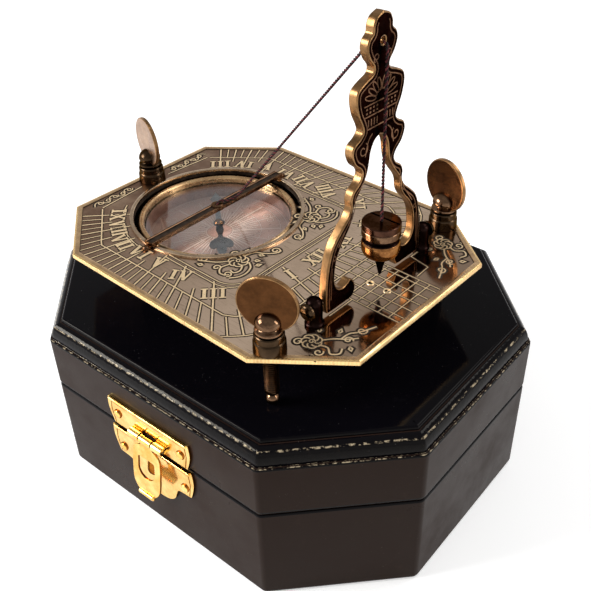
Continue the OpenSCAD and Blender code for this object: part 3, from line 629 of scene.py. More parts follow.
    bronze, worn_edge = tuple(c.bronze), tuple(c.worn)
    metal("bronze", lighter(bronze, 1.7), lighter(bronze, 0.5), bronze, 0.2, grain=1300.0, edge=0.5)
    metal("bronze_dark", (0.026, 0.013, 0.010), (0.006, 0.0032, 0.003), (0.016, 0.0078, 0.0064), 0.3, grain=1500.0,
          edge=0.3)
    metal("engraving", (0.30, 0.17, 0.11), (0.08, 0.043, 0.028), (0.22, 0.12, 0.072), 0.34, grain=1800.0, edge=0.4)
    metal("worn_edge", lighter(worn_edge, 1.1), lighter(worn_edge, 0.4), worn_edge, 0.33, grain=1800.0, bump=0.00003)
    metal("copper_cap", (0.15, 0.07, 0.043), (0.03, 0.0135, 0.009), (0.085, 0.039, 0.024), 0.2, grain=1500.0, edge=0.5)
    metal("copper_dome", (0.33, 0.20, 0.115), (0.08, 0.042, 0.024), (0.20, 0.115, 0.065), 0.14, grain=1600.0, edge=0.5)
    metal("bulb_gold", (0.56, 0.28, 0.095), (0.13, 0.048, 0.016), (0.34, 0.15, 0.048), 0.15, grain=1500.0, edge=0.5)
    disc = tuple(c.disc)
    metal("disc_face", lighter(disc, 1.25), lighter(disc, 0.55), disc, 0.15, grain=700.0, wear=0.3, bump=0.000004)
    metal("disc_pale", (0.46, 0.30, 0.19), (0.24, 0.14, 0.085), (0.38, 0.235, 0.145), 0.3, grain=700.0, wear=0.5,
          streak=(1.0, 1.0, 7.0))
    metal("rim_top", (0.86, 0.62, 0.36), (0.46, 0.29, 0.15), (0.72, 0.48, 0.26), 0.24, grain=1500.0)
    metal("bezel", (0.76, 0.52, 0.28), (0.42, 0.25, 0.125), (0.62, 0.41, 0.21), 0.28, grain=1500.0, bump=0.000001)
    metal("lip", (0.76, 0.58, 0.40), (0.36, 0.25, 0.16), (0.58, 0.43, 0.29), 0.2, grain=1800.0)
    metal("bar", (0.30, 0.175, 0.095), (0.08, 0.042, 0.024), (0.17, 0.092, 0.05), 0.22, grain=1800.0, edge=0.6)

    card = tuple(c.card)
    metal("card_shade", (0.30, 0.15, 0.10), (0.13, 0.06, 0.04), (0.24, 0.115, 0.078), 0.4, grain=1700.0, metallic=0.3)
    pink, pivot = (1.0, 0.72, 0.58), joint_place("needle_spin").x
    for name, low, high in (("card", lighter(card, 0.6), card), ("card_raised", lighter(pink, 0.7), pink)):
        f = metal(name, high, low, high, 0.34, grain=1700.0, wear=0.4, bump=0.00003, metallic=0.3)
        tone = f.shader.inputs["Base Color"].links[0].from_socket
        # Painted reflection and shade: the card darkens on its tail side, standing in for the grey reflection of the
        # glass over it, and again towards the bracket side
        tone = f.mix(f.span(f.axis("X"), pivot + 0.002, pivot + 0.012, 0.0, 0.85), tone, lighter(high, 0.27))
        f.colour(f.mix(f.span(f.axis("X"), pivot - 0.005, pivot + 0.001), lighter(high, 0.3), tone))
    steel = tuple(c.steel)
    metal("needle", lighter(steel, 1.7), lighter(steel, 0.5), steel, 0.32, grain=1500.0, wear=0.4,
          streak=(1.0, 6.0, 1.0))
    f = Finish("glass", Roughness=0.015, IOR=1.5, Transmission_Weight=1.0)
    f.colour((0.93, 0.96, 0.97))
    clear = f.nodes.new("ShaderNodeBsdfTransparent")
    both = f.nodes.new("ShaderNodeMixShader")
    f.links.new(f.nodes.new("ShaderNodeLightPath").outputs["Is Shadow Ray"], both.inputs[0])
    f.links.new(f.shader.outputs[0], both.inputs[1])
    f.links.new(clear.outputs[0], both.inputs[2])
    f.links.new(both.outputs[0], f.nodes["Material Output"].inputs["Surface"])

    # String: each ply has its own tone, with fibres that run along it
    for name, tone in (("string_red", tuple(c.string_red)), ("string_dark", tuple(c.string_dark))):
        f = Finish(name, Metallic=0.0, Sheen_Weight=0.05, Specular_IOR_Level=0.15)
        fibre = f.noise(2600.0, 4.0, 0.6, f.stretched((1.0, 1.0, 0.35)))
        f.colour(f.mix(f.span(fibre, 0.35, 0.7), lighter(tone, 0.5), lighter(tone, 1.7)))
        f.rough(0.8)
        f.bump((fibre, 0.00008), strength=0.8)


# Outlines that several pieces share


def dial_ring(s, inset):
    return rounded(cut_rect(mm(s.length) / 2, mm(s.width) / 2, mm(s.cut_x), mm(s.cut_y), inset), 0.5, 4)


def case_ring(s, inset):
    radius = max(mm(s.corner) - inset, 0.5)
    return rounded(cut_rect(mm(s.length) / 2, mm(s.width) / 2, mm(s.cut), mm(s.cut), inset), radius, 6)


def loft(bm, ring_of, profile, cap_first=True, cap_last=True):
    """Skins (inset, height) pairs of an outline."""
    return bridge_rings(bm, [at_height(ring_of(d), z) for d, z in profile], cap_first, cap_last)


def fill_between(bm, edges, normal):
    """A flat face area between an outer loop and the loops of its holes."""
    made = bmesh.ops.triangle_fill(bm, edges=edges, use_beauty=True, use_dissolve=False, normal=normal)["geom"]
    return [f for f in made if isinstance(f, bmesh.types.BMFace)]


SCALE_IN = ((90, 35.8), (0, 45.6), (45, 54.3), (128.2, 35.5))
SCALE_OUT = ((90, 42.5), (0, 52.1), (45, 62.4), (128.2, 41.7))


def on_side(sides, angle, inset=0.0, side=1):
    """Where a ray from the string's foot meets the scale's border, on either side of noon."""
    a = math.radians(angle)
    r = min((d - inset) / math.cos(a - math.radians(n)) for n, d in sides if math.cos(a - math.radians(n)) > 0.1)
    return COMPASS_X + r * math.cos(a), side * r * math.sin(a)


# Hour numerals: each letter's width, and its strokes in a box one unit high as (from, to, width)
LETTERS = {
    "I": (0.46, [((0.23, 0), (0.23, 1), 0.21), ((0.02, 0.05), (0.44, 0.05), 0.11),
                 ((0.02, 0.95), (0.44, 0.95), 0.11)]),
    "V": (0.88, [((0.16, 1), (0.44, 0), 0.21), ((0.71, 1), (0.44, 0), 0.12), ((0, 0.95), (0.33, 0.95), 0.11),
                 ((0.55, 0.95), (0.88, 0.95), 0.11)]),
    "X": (0.88, [((0.15, 1), (0.73, 0), 0.21), ((0.71, 1), (0.17, 0), 0.12), ((0, 0.95), (0.32, 0.95), 0.11),
                 ((0.55, 0.95), (0.87, 0.95), 0.11), ((0.02, 0.05), (0.33, 0.05), 0.11),
                 ((0.56, 0.05), (0.88, 0.05), 0.11)]),
}
LETTER_GAP, WIDEST = 0.08, 1.75
# The hours from noon towards the back, and from one o'clock towards the front
TO_THE_BACK = ("XII", "XI", "X", "IX", "VIII", "VII", "VI", "V", "IV", "III")
TO_THE_FRONT = ("I", "II", "III", "IV", "V", "VI", "VII", "VIII", "IX")


def numeral_strokes(text, centre, up, height):
    """Strokes of a numeral round its centre, with its top towards up."""
    across = Vector((up.y, -up.x))
    wide = sum(LETTERS[ch][0] for ch in text) + LETTER_GAP * (len(text) - 1)
    squeeze = min(1.0, WIDEST / wide)
    out, x = [], -wide / 2
    for ch in text:
        advance, strokes = LETTERS[ch]
        for a, b, width in strokes:
            ends = [centre + across * (x + p[0]) * squeeze * height + up * (p[1] - 0.5) * height for p in (a, b)]
            out.append(([tuple(e) for e in ends], width * height))
        x += advance + LETTER_GAP
    return out


def scroll_ornaments():
    """Rose-and-scroll ornament of one side of the dial, drawn for the front."""
    def rose(x, y, r):
        """A whorl of curled petals round a small spiral."""
        out = [(spiral(x, y, r * 0.4, 0.2, 0, 460, 20), 0.36)]
        for i in range(7):
            petal = []
            for t in (k / 10 for k in range(11)):
                reach, a = r * (0.5 + 0.62 * math.sin(t * 2.3)), math.tau * i / 7 + 1.5 * t
                petal.append((x + reach * math.cos(a), y + reach * math.sin(a)))
            out.append((petal, 0.4))
        return out

    out = rose(3.6, -15.6, 2.6) + rose(43.0, -28.9, 2.4)
    out += [(spline(p, 4), 0.46) for p in (
        [(3.2, -12.6), (4.2, -9.6), (7.0, -7.9), (9.0, -5.8), (9.4, -3.9)],
        [(6.4, -14.2), (8.6, -15.8), (9.6, -18.6), (9.2, -21.2), (7.6, -23.3)],
        [(1.4, -17.8), (-0.6, -20.0), (-3.2, -21.6), (-5.6, -22.9)],
        [(2.8, -18.6), (2.2, -21.2), (3.8, -23.2), (5.9, -23.0)],
        [(6.3, -16.8), (7.4, -18.8), (6.8, -20.6), (5.2, -20.4)],
        [(44.6, -27.0), (46.6, -24.6), (49.2, -22.6), (51.2, -20.4)],
        [(45.2, -28.9), (47.6, -28.2), (49.6, -29.6), (51.3, -28.1), (50.6, -26.2)],
        [(48.0, -23.6), (48.2, -20.6), (49.8, -18.4), (51.8, -13.9)])]
    out += [(spiral(*p), 0.42) for p in (
        (8.0, -4.9, 1.5, 0.4, -20, 420), (5.9, -22.2, 1.3, 0.35, -60, 380), (-4.6, -21.6, 1.5, 0.4, 230, -190),
        (1.2, -21.9, 1.2, 0.35, 20, 400), (50.0, -17.6, 1.4, 0.35, 60, -360), (49.6, -22.6, 1.3, 0.35, 20, 420),
        (47.0, -31.0, 1.3, 0.35, 60, -330), (40.4, -31.2, 1.3, 0.35, 90, 470), (0.2, -13.4, 1.4, 0.35, -60, -440))]
    leaves = ((2.2, -11.2, 110), (5.8, -9.6, 20), (9.0, -14.2, 60), (-1.8, -18.6, 150), (-2.6, -23.6, 200),
              (6.9, -12.6, 35), (46.2, -22.0, 110), (51.6, -24.4, -40), (42.0, -25.0, 120), (46.4, -32.8, -30))
    for x, y, a in leaves:
        d = Vector((math.cos(math.radians(a)), math.sin(math.radians(a))))
        n, p = Vector((-d.y, d.x)), Vector((x, y))
        out.append(([tuple(q) for q in (p, p + d * 0.8 + n * 0.5, p + d * 1.7, p + d * 0.8 - n * 0.5, p)], 0.44))
    return out


def tail_scrolls():
    """A running scroll in the narrow bands beside the tail screw, drawn for the front."""
    out = []
    for i in range(5):
        y = -9.4 - i * 2.9
        x = -53.2 + (i % 2) * 0.5
        turn = 1 if i % 2 else -1
        out.append((spiral(x, y, 1.05, 0.3, 90, 90 + turn * 420, 18), 0.34))
        out.append((spline([(x + turn * 1.0, y), (x + turn * 0.9, y - 1.4), (x - turn * 0.7, y - 2.7)], 4), 0.34))
    return out


# The pieces


# Heights on the case: the walls' edges at the seam, the band round it that is painted black as the seam's shadow, the
# moulding and the top
BASE_TOP, LID_LOW = 33.66, 34.02
SEAM_SHADE_LOW, SEAM_SHADE_HIGH = 32.95, 34.7
MOULDING_LOW, TOP_LOW = 50.3, 56.6
AIR = 0.06  # between a lining and the wood round it
DIAL_MM = _middle / MM


def build_case(case):
    """Lacquered base and lid, and their padded linings."""
    wall = mm(case.wall)
    inside = wall + AIR

    def ring(inset):
        return case_ring(case, inset)

    def recess(*sizes):
        return lambda inset: rounded(cut_rect(*sizes, inset), 2.0, 6)

    def pocket(radius):
        return circle(DIAL_MM.x + COMPASS_X, DIAL_MM.y, radius, 48)

    bm = bmesh.new()
    loft(bm, ring, [(2.2, 0), (1.5, 0.0), (1.0, 0.12), (0.62, 0.35), (0.3, 0.7), (0.1, 1.15), (0, 1.7), (0, 32.9),
                    (0.08, 33.3), (0.22, 33.55), (0.45, BASE_TOP), (wall - 0.3, BASE_TOP), (wall, 33.36), (wall, 5.0)])
    # Painted shadow: the side's band next to the seam takes the black gloss lacquer
    paint(bm.faces, lambda n, m: 1 if m.z < 0.01 or abs(m.z - BASE_TOP) < 0.01 else 2 if m.z > SEAM_SHADE_LOW else 0)
    add_piece(bm, "case_base", "base", ("lacquer", "raw_wood", "lacquer_top"), ["box_base"], CASE)

    bm = bmesh.new()
    ovolo = [(0.95 + 2.85 * (1 - math.cos(math.radians(a))), 51.4 + 4.4 * math.sin(math.radians(a)))
             for a in range(0, 91, 6)]
    loft(bm, ring, [(wall, 51.02), (wall, 34.32), (wall - 0.3, LID_LOW), (0.45, LID_LOW), (0.22, 34.13), (0.08, 34.38),
                    (0, 34.8), (0, 50.2), (0.05, 50.55), (0.2, 50.74), (0.45, 50.8), (0.86, 50.8), (0.93, 50.86)]
         + ovolo + [(4.2, 55.8), (4.24, 56.2), (4.36, 56.6), (4.62, 56.83), (5.0, 56.9), (6.4, 56.9), (9.0, 56.92)])
    # The top takes the black gloss lacquer, and so does the band next to the seam as its painted shadow
    paint(bm.faces, lambda n, m: 1 if m.z > TOP_LOW or m.z < SEAM_SHADE_HIGH
          else 2 if m.z > MOULDING_LOW and abs(n.z) < 0.999 else 0)
    add_piece(bm, "case_lid", "lid", ("lacquer", "lacquer_top", "lacquer_moulding"), ["box_lid"],
              CASE)

    bm = bmesh.new()
    rim = loft(bm, ring, [(inside, 5.06), (inside, 32.4), (inside + 0.12, 32.85), (inside + 0.35, 33.1)], True, False)
    nest = loft(bm, recess(61.4, 47.4, 24, 19.5),
                [(-0.6, 33.1), (-0.15, 32.8), (0, 32.2), (0, 14.6), (0.7, 14.0)], False, False)
    fill_between(bm, rim[-1] + nest[0], (0, 0, 1))
    hole = loft(bm, pocket, [(29.6, 14.0), (29.0, 13.5), (29.0, 8.6), (28.4, 8.0)], False, True)
    fill_between(bm, nest[-1] + hole[0], (0, 0, 1))
    bmesh.ops.recalc_face_normals(bm, faces=bm.faces)
    pad = add_piece(bm, "velvet_base", "base", ("velvet",), ["base_lining"], CASE)

    bm = bmesh.new()
    rim = loft(bm, ring, [(inside, 50.96), (inside, 35.6), (inside + 0.5, 34.8), (inside + 1.6, 34.5)], True, False)
    nest = loft(bm, recess(60, 46, 21, 17),
                [(-1.4, 34.5), (-0.4, 34.9), (0, 35.8), (0, 48.3), (0.7, 49.0)], False, True)
    fill_between(bm, rim[-1] + nest[0], (0, 0, -1))
    bmesh.ops.recalc_face_normals(bm, faces=bm.faces)
    pad = add_piece(bm, "velvet_lid", "lid", ("velvet",), ["lid_lining"], CASE)


def plate_inset(s, at):
    """How far a point lies inside the plate's outline."""
    hx, hy, cx, cy = mm(s.length) / 2, mm(s.width) / 2, mm(s.cut_x), mm(s.cut_y)
    cut = (cy * hx + cx * (hy - cy) - cy * abs(at.x) - cx * abs(at.y)) / math.hypot(cx, cy)
    return min(hx - abs(at.x), hy - abs(at.y), cut)


# Places of the two index holes along the plate
INDEX_X = (38.9, 44.6)


def build_plate(s):
    """The cast plate: rim, field, compass opening with its lip, and index holes."""
    bm = bmesh.new()
    rim = loft(bm, lambda d: dial_ring(s, d),
               [(0.3, -PLATE_T), (0, -1.3), (0, -0.42), (0.06, -0.2), (0.25, -0.06), (0.7, 0), (1.25, 0.03), (1.75, 0),
                (1.95, -0.07), (2.05, -0.24), (RIM_W, FIELD_Z)], False, False)
    outside = set(bm.faces)
    low, high = [], []
    for x, r, n in [(COMPASS_X, 26, 96)] + [(x, 0.7, 16) for x in INDEX_X]:
        wall = loft(bm, lambda d: circle(x, 0, r, n), ((0, -PLATE_T), (0, FIELD_Z)), False, False)
        low += wall[0]
        high += wall[1]
    bore = set(fresh(bm, outside))
    fill_between(bm, rim[0] + low, (0, 0, -1))
    fill_between(bm, rim[-1] + high, (0, 0, 1))
    bmesh.ops.recalc_face_normals(bm, faces=bm.faces)
    # The walls of the holes and the rim's inner edge take the dark finish: partly tarnish, partly painted shade in
    # these hollows
    for f in bm.faces:
        f.material_index = 2 if f in bore else 1
    paint(outside, lambda n, m: 0 if m.z <= -0.5 or plate_inset(s, m) <= 0.6 else 4 if plate_inset(s, m) <= 1.9 else 2)
    known = set(bm.faces)
    turned(bm, [(26.0, -0.5), (26.0, 0.28), (26.14, 0.43), (26.4, LIP_Z), (26.85, LIP_Z), (27.12, 0.36), (27.25, 0.1),
                (27.3, -0.5), (26.0, -0.5)], (COMPASS_X, 0, 0), 128)
    paint(fresh(bm, known), lambda n, m: 3)
    add_piece(bm, "plate", "dial", ("rim", "field", "patina", "lip", "rim_top"), ["dial_plate"])


# Lift of the dark bands beside the lines, partly tarnish and partly painted shade, and of the raised lines above the
# surface, and what each further line adds to it
HALO_LIFT, HALO_STEP = 0.008, 0.0015
LINE_LIFT, LINE_STEP = 0.026, 0.002


def relief(name, lines, rise, body="dial", place=DIAL, z=FIELD_Z, halo=0.72, tops="raised", sides="raised_side",
           base=0.0, under="patina"):
    """Raised lines with a dark band beside them, partly tarnish and partly painted shade, each a hair above the last
    so that no two faces coincide.
    """
    bm = bmesh.new()
    for i, (path, width) in enumerate(lines if halo else ()):
        for f in ribbon(bm, path, width + halo, z + HALO_LIFT + base + HALO_STEP * (i % 9)):
            f.material_index = 2
    for i, line in enumerate(lines):
        raise_lines(bm, [line], rise, z + LINE_LIFT + base + LINE_STEP * (i % 9))
    add_piece(bm, name, body, (tops, sides, under), (), place)


def build_scale(s):
    """Borders, hour lines and ticks, all radial from the string's foot."""
    quarter, line = math.degrees(s.hour_step) / 4, mm(s.line)
    inner = [on_side(SCALE_IN, a, 0, -1) for a in range(141, 0, -3)] + [on_side(SCALE_IN, a) for a in range(0, 142, 3)]
    outer = [on_side(SCALE_OUT, a, 0, -1) for a in range(43, 0, -3)] + [on_side(SCALE_OUT, a) for a in range(1, 44, 3)]
    hours, ticks = [], []
    for k in range(37):
        if k % 4 == 0:
            lines, inset, width = hours, 5.6 if k == 24 else 8.8, line * 1.3
        elif k % 2 == 0:
            lines, inset, width = ticks, 3.0, line * 1.15
        else:
            lines, inset, width = ticks, -0.15, line
        for side in (1, -1) if k else (1,):
            path = [on_side(SCALE_IN, k * quarter, inset, side), on_side(SCALE_OUT, k * quarter, 0.1, side)]
            lines.append((path, width))
    # The thin arc joins the tops of the last hours
    last = arc(COMPASS_X, 0, 29.3, -146, -94, 24)
    relief("scale_borders", [(inner, line * 1.1), (outer, line), (last, line)], mm(s.rise) * 0.7)
    relief("scale_hours", hours, mm(s.rise) * 0.95, base=0.004)
    relief("scale_ticks", ticks, mm(s.rise) * 0.85, base=0.002)


def build_numerals(s):
    """Roman hour numerals, their tops towards the string's foot."""
    lines = []
    hours = [(text, k, 1) for k, text in enumerate(TO_THE_BACK)]
    hours += [(text, k, -1) for k, text in enumerate(TO_THE_FRONT, 1)]
    for text, hour, side in hours:
        at = Vector(on_side(SCALE_IN, hour * math.degrees(s.hour_step), 4.9, side))
        up = (Vector((COMPASS_X, 0)) - at).normalized()
        lines += numeral_strokes(text, at, up, mm(s.numeral))
    relief("numerals", lines, mm(s.rise) * 1.15, halo=0.85, base=0.016)


def build_ornaments(s):
    """Panel border, rose-and-scroll ornaments, bands at the tail and the lattice round the index holes."""
    panel = []
    for d in (0, 1.4):
        half = [(-14, -26.3 - d), (4, -26.3 - d), (7.5 + d * 0.3, -26.1 - d), (10 + d * 0.7, -25 - d * 0.8),
                (12 + d * 0.9, -22.8 - d * 0.3), (12.9 + d, -20), (12.9 + d, -10)]
        panel.append((spline(half + flipped(half)[::-1], 3), 0.34))
    panel += [(p, 0.42) for p in both_sides([[(-50.3, -22.4), (-51.6, -5.6)]])]
    relief("panel_lines", panel, mm(s.rise) * 0.9)
    scrolls = scroll_ornaments() + tail_scrolls()
    relief("ornaments", scrolls + [(flipped(p), w) for p, w in scrolls], mm(s.rise) * 1.1, halo=1.15, base=0.006)
    lattice = [([(30.9, y), (54.9, y)], 0.3) for y in (-8.9, -6.7, -3.0, 0.6, 4.1, 7.9, 9.8)]
    lattice += [([(x, -8.8), (x, 9.7)], 0.3) for x in (34.2, 37.7, 41.2, 44.7, 48.2, 51.7)]
    lattice += [([(39.7, -18.3), (39.7, -8.9)], 0.34), ([(39.7, 17.5), (39.7, 22.0)], 0.34),
                ([(39.7, 17.7), (46.4, 16.4), (46.7, 10.9)], 0.3)]
    relief("lattice", lattice, mm(s.rise) * 0.6, halo=0.6, base=0.001)
    bm = bmesh.new()
    ring = ((0.72, -0.2), (0.72, 0.2), (0.82, 0.28), (1.0, 0.26), (1.12, 0.12), (1.14, -0.2), (0.72, -0.2))
    for x in INDEX_X:
        turned(bm, [(r, FIELD_Z + h) for r, h in ring], (x, 0, 0), 32)
    add_piece(bm, "index_rings", "dial", ("raised",))


CARD_Z = -8.5


def build_compass(fittings):
    """Bowl, bezel, glass, embossed card, pivot and the lily needle."""
    c = (COMPASS_X, 0, 0)
    bm = bmesh.new()
    turned(bm, [(0, -9.9), (22.9, -9.9), (23.35, -9.75), (23.6, -9.4), (23.6, -5.0), (23.75, -4.9), (26.7, -4.9),
                (26.9, -4.7), (26.9, -2.7), (27.0, -2.6), (27.5, -2.6), (27.6, -2.5), (27.6, -1.65), (25.98, -1.65),
                (25.98, -4.05), (22.6, -4.05), (22.6, -9.05), (0, -9.05)], c, fittings.turns)
    paint(bm.faces, lambda n, m: 1 if math.hypot(m.x - COMPASS_X, m.y) < 22.7 and m.z > -9.1 else 0)
    add_piece(bm, "bowl", "dial", ("bronze_dark", "card_shade"), ["compass_bowl"])
    turned_piece("bezel", "dial", "bezel",
                 [(23.45, -4.03), (25.85, -4.03), (25.9, -3.9), (25.85, -3.3), (25.3, -2.95), (24.9, -2.7)]
                 + oval(23.85, -2, 0.95, 0.95, range(0, 181, 15)) + [(22.9, -2.98), (23.45, -2.98), (23.45, -4.03)],
                 c, 128, ["compass_bezel"])
    turned_piece("glass", "dial", "glass",
                 [(0, -4), (23.2, -4), (23.3, -4), (23.4, -3.95), (23.4, -3.06), (23.3, -3), (23.2, -3), (0, -3)],
                 c, 96, ["compass_glass"])
    turned_piece("card", "dial", "card",
                 [(0.8, -9.03), (22.4, -9.03), (22.5, -8.95), (22.5, -8.55), (22.4, CARD_Z), (0.8, CARD_Z),
                  (0.8, -9.03)], c, 96, ["compass_card"])

    def at(r, a):
        return COMPASS_X + r * math.cos(a), r * math.sin(a)

    lines = [([at(r, math.tau * k / 72) for k in range(73)], w)
             for r, w in ((21.6, 0.35), (19.4, 0.3), (13.2, 0.3), (4.2, 0.35))]
    for k in range(32):
        a = math.tau * k / 32
        lines.append(([at(r, a) for r in (4.4, 13.0 if k % 2 else 19.2)], 0.5 if k % 4 else 0.8))
        lines.append(([at(r, a + math.tau / 64) for r in (7.0, 12.0)], 0.45))
    for k in range(72):
        lines.append(([at(r, math.tau * k / 72) for r in (20.2 if k % 2 else 19.6, 21.4)], 0.28))
    for k in range(8):
        a = math.tau * (k + 0.5) / 8
        (x, y), t = at(16.2, a), math.degrees(a)
        for side in (1, -1):
            b = a + side * 1.2
            eye = (x + 1.5 * math.cos(b), y + 1.5 * math.sin(b))
            lines.append((spiral(*eye, 1.5, 0.4, t - side * 60, t + side * 330, 16), 0.36))
    # The rose's lines get dark sides and a dark band beside each, as painted shade
    relief("card_rose", lines, 0.16, z=CARD_Z, halo=0.24, tops="card_raised", sides="card_shade", base=0.004,
           under="card_shade")

    turned_piece("pivot", "dial", "bezel",
                 [(0, -9.03), (0.75, -9.03), (0.75, -8.48), (1.1, -8.48), (0.9, -8.03), (0.5, -6.63), (0.3, -5.43),
                  (0, -5.03)], c, 32, ["needle_pivot"])
    half = [(-19.3, 0), (-15, 1.9), (-12, 0.7), (-1.9, 0.9)] + oval(0, 0, 1.9, 1.9, range(140, 39, -20))
    half += spline([(2, 0.9), (4, 1.2), (7, 0.7), (8.6, 1), (10.4, 3), (12.6, 3.7), (14.2, 3.2), (14.6, 2.2)], 5)
    half += [(14, 1.3), (15, 1.6), (17, 1.2), (19.6, 0)]
    bm = bmesh.new()
    extruded(bm, half + flipped(half[-2:0:-1]), -5.6, -5.3)
    bevel_sharp(bm, 0.06, 40, 2)
    turn = Matrix.Translation(c) @ Matrix.Rotation(math.radians(-40), 4, "Z")
    bmesh.ops.transform(bm, matrix=turn, verts=bm.verts)
    add_piece(bm, "needle", "needle", ("needle",), ["compass_needle"])
    turned_piece("cap", "needle", "bulb_gold",
                 [(0.45, -5.3), (0.55, -6.0), (0.97, -6.0), (0.97, -5.28), (1.5, -5.28), (1.47, -5.05), (1.35, -4.9),
                  (0.8, -4.4), (0.3, -4.22), (0, -4.2)], c, 40, ["needle_cap"])


def build_bar():
    """Gnomon bar: a channel with raised edges, an eyelet in the middle, and its rivets."""
    z, bm = LIP_Z + 0.02, bmesh.new()
    half = [(1.0, 0.8), (1.0, 1.1), (1.15, 1.22), (1.58, 1.22), (1.7, 1.1), (1.7, 0)]
    section = [(-x, z + h) for x, h in reversed(half)] + [(x, z + h) for x, h in half]
    bridge_rings(bm, [[(x, y, h) for x, h in section] for y in (-27.6, -26.9, 26.9, 27.6)])
    # The channel's floor and inner walls take the dark finish: partly tarnish, partly painted shade
    paint(bm.faces, lambda n, m: 1 if abs(m.x) < 1.05 and m.z < z + 1.0 and abs(n.y) < 0.5 else 0)
    foot, rivet = FIELD_Z + 0.02, [(0, 1.15), (0.5, 1.1), (0.8, 0.95), (0.95, 0.72), (0.9, 0.6)]
    for side in (-1, 1):
        for high, y0, y1 in ((FIELD_Z + 0.72, 27.3, 29.8), (z + 1.1, 27.3, 27.7)):
            corners = [(-1.1, side * y0), (1.1, side * y0), (1.1, side * y1), (-1.1, side * y1)][::side]
            bevel_sharp(bm, 0.12, 40, 2, extruded(bm, corners, foot, high))
        turned(bm, [(r, FIELD_Z + h) for r, h in rivet], (0, side * 28.7, 0), 24)
    eyelet = ((0.65, 0.5), (0.65, 1.5), (0.8, 1.65), (1.6, 1.65), (1.85, 1.5), (1.95, 1.1), (1.95, 0.02), (0.65, 0.02))
    turned(bm, [(r, z + h) for r, h in eyelet], (0, 0, 0), 40)
    bmesh.ops.translate(bm, verts=bm.verts, vec=(COMPASS_X, 0, 0))
    add_piece(bm, "bar", "dial", ("bar", "patina"), ["gnomon_bar", "bar_rivets"])


# Half of the bracket's outline and of its opening, as (across, height)
BRACKET_OUT = [
    (0, 74.3), (2.4, 73.4), (3.5, 71.6), (3.7, 70), (5.1, 68.7), (5.6, 66.7), (4.6, 64.2), (3, 62.2), (3.3, 60.5),
    (6, 59.4), (8.5, 58), (9.2, 55.6), (8.4, 52), (6.9, 49), (6.4, 47.2), (7.7, 45.8), (9.8, 44.6), (10.4, 42.4),
    (9.2, 39.6), (7.1, 37.7), (6.4, 36), (7.4, 34.2), (9.6, 32.6), (10.5, 30.6), (10.4, 28.4), (11.5, 26.2),
    (14.6, 23.4), (17.2, 20.6), (18.8, 16.8), (19.8, 11.6), (20.2, 6), (20.1, 2.2), (19.4, 1.4)]
BRACKET_IN = [
    (9.5, 1.6), (8.6, 3.2), (8.6, 5.2), (9.6, 7), (10.7, 7.6), (11.7, 7), (13.4, 6.4), (15.4, 7.2), (16.6, 9.4),
    (16.7, 12.4), (15.9, 16.4), (14, 19.8), (11.4, 22.8), (10.2, 25), (9.8, 27.4), (8.8, 29.6), (6.6, 32.4),
    (4.7, 35.3), (3.9, 38), (3.3, 41.2), (1.9, 43.6), (0, 44.5)]


def inward(path, d):
    """A path moved to its right by d, with its folds left out."""
    out = []
    for a, b, c in zip(path, path[1:], path[2:]):
        t = (Vector(c) - Vector(a)).normalized()
        p = Vector(b) + Vector((t.y, -t.x)) * d
        if not out or (p - Vector(out[-1])).dot(t) > 0.12:
            out.append(tuple(p))
    return out


def bracket_ornament(outside):
    """Engraved lines of the bracket's face: contour, curls, stems, fans of petals, dots and ribs."""
    lines = []
    curls = [spiral(*k) for k in ((6.4, 42.6, 1.9, 0.4, 120, 520), (2.2, 64.2, 1.2, 0.3, -60, 300),
                                  (17.0, 17.0, 0.8, 0.25, 60, 400))]
    stems = [spline(k, 5) for k in (
        [(10.6, 27.2), (11.4, 25.0), (13.2, 22.6), (15.4, 19.6)], [(17.7, 14.6), (18.0, 11.0), (18.3, 5.0)],
        [(3.0, 45.9), (4.6, 44.2), (5.6, 40.6)])]
    contour = [p for p in inward([p for p in outside if p[1] < 73.2], 1.25) if p[0] > 0.4]
    for side in (1, -1):
        lines += [([(y * side, z) for y, z in k], w) for k, w in [(contour, 0.3)] + [(k, 0.32) for k in curls + stems]]
    for side in (1, -1):
        for a, reach in ((14, 3.4), (34, 3.6), (54, 3.9), (74, 4.2)):
            d = Vector((side * math.sin(math.radians(a)), math.cos(math.radians(a))))
            middle = Vector((0, 53.9)) + d * (reach * 0.5 + 2.2)
            lines.append((leaf(middle, d, reach * 0.5, 0.62, 16), 0.3))
        for z in (52.6, 51.6):
            lines += [([(side * y - 0.3, z), (side * y + 0.3, z)], 0.5) for y in (1.5, 2.8, 4.1, 5.4)]
        lines += [([(side * y, 48.0), (side * y, 49.8)], 0.34) for y in (1.4, 2.5, 3.6, 4.7)]
    return lines + [([(-half, z), (half, z)], 0.34) for half, z in ((6.4, 53.5), (6.4, 50.7), (5.2, 47.4))]


def build_bracket(fittings):
    """The folding bracket: pierced scalloped outline, worn edges, engraved contour and ornament on its face."""
    hole = oval(0, HOLE_Z, 0.85, 0.85, range(-90, 91, 20))
    hole[0], hole[-1] = (0, hole[0][1]), (0, hole[-1][1])
    outside, inside = spline(BRACKET_OUT, 5), spline(BRACKET_IN, 5)
    half = outside + [(18, 1.3), (10.6, 1.3)] + inside + hole
    bm = bmesh.new()
    mirrored_solid(bm, half, BRACKET_X - BRACKET_T / 2, FACE_X, "X", "Y")
    bevel_sharp(bm, mm(fittings.edge), 60, 3)
    paint(bm.faces, lambda n, m: 0 if abs(n.x) > 0.97 else 1)
    add_piece(bm, "bracket_body", "bracket", ("bronze_dark", "worn_edge"), ["bracket"])

    bm = bmesh.new()
    for i, line in enumerate(bracket_ornament(outside)):
        raise_lines(bm, [line], 0.05, 0.005 + LINE_STEP * (i % 7))
    bmesh.ops.transform(bm, matrix=Matrix.Translation((FACE_X, 0, 0)) @ ON_EDGE_X, verts=bm.verts)
    add_piece(bm, "bracket_engraving", "bracket", ("engraving", "bronze_dark"))


SLOT = 0.27  # half the width of a screwdriver slot


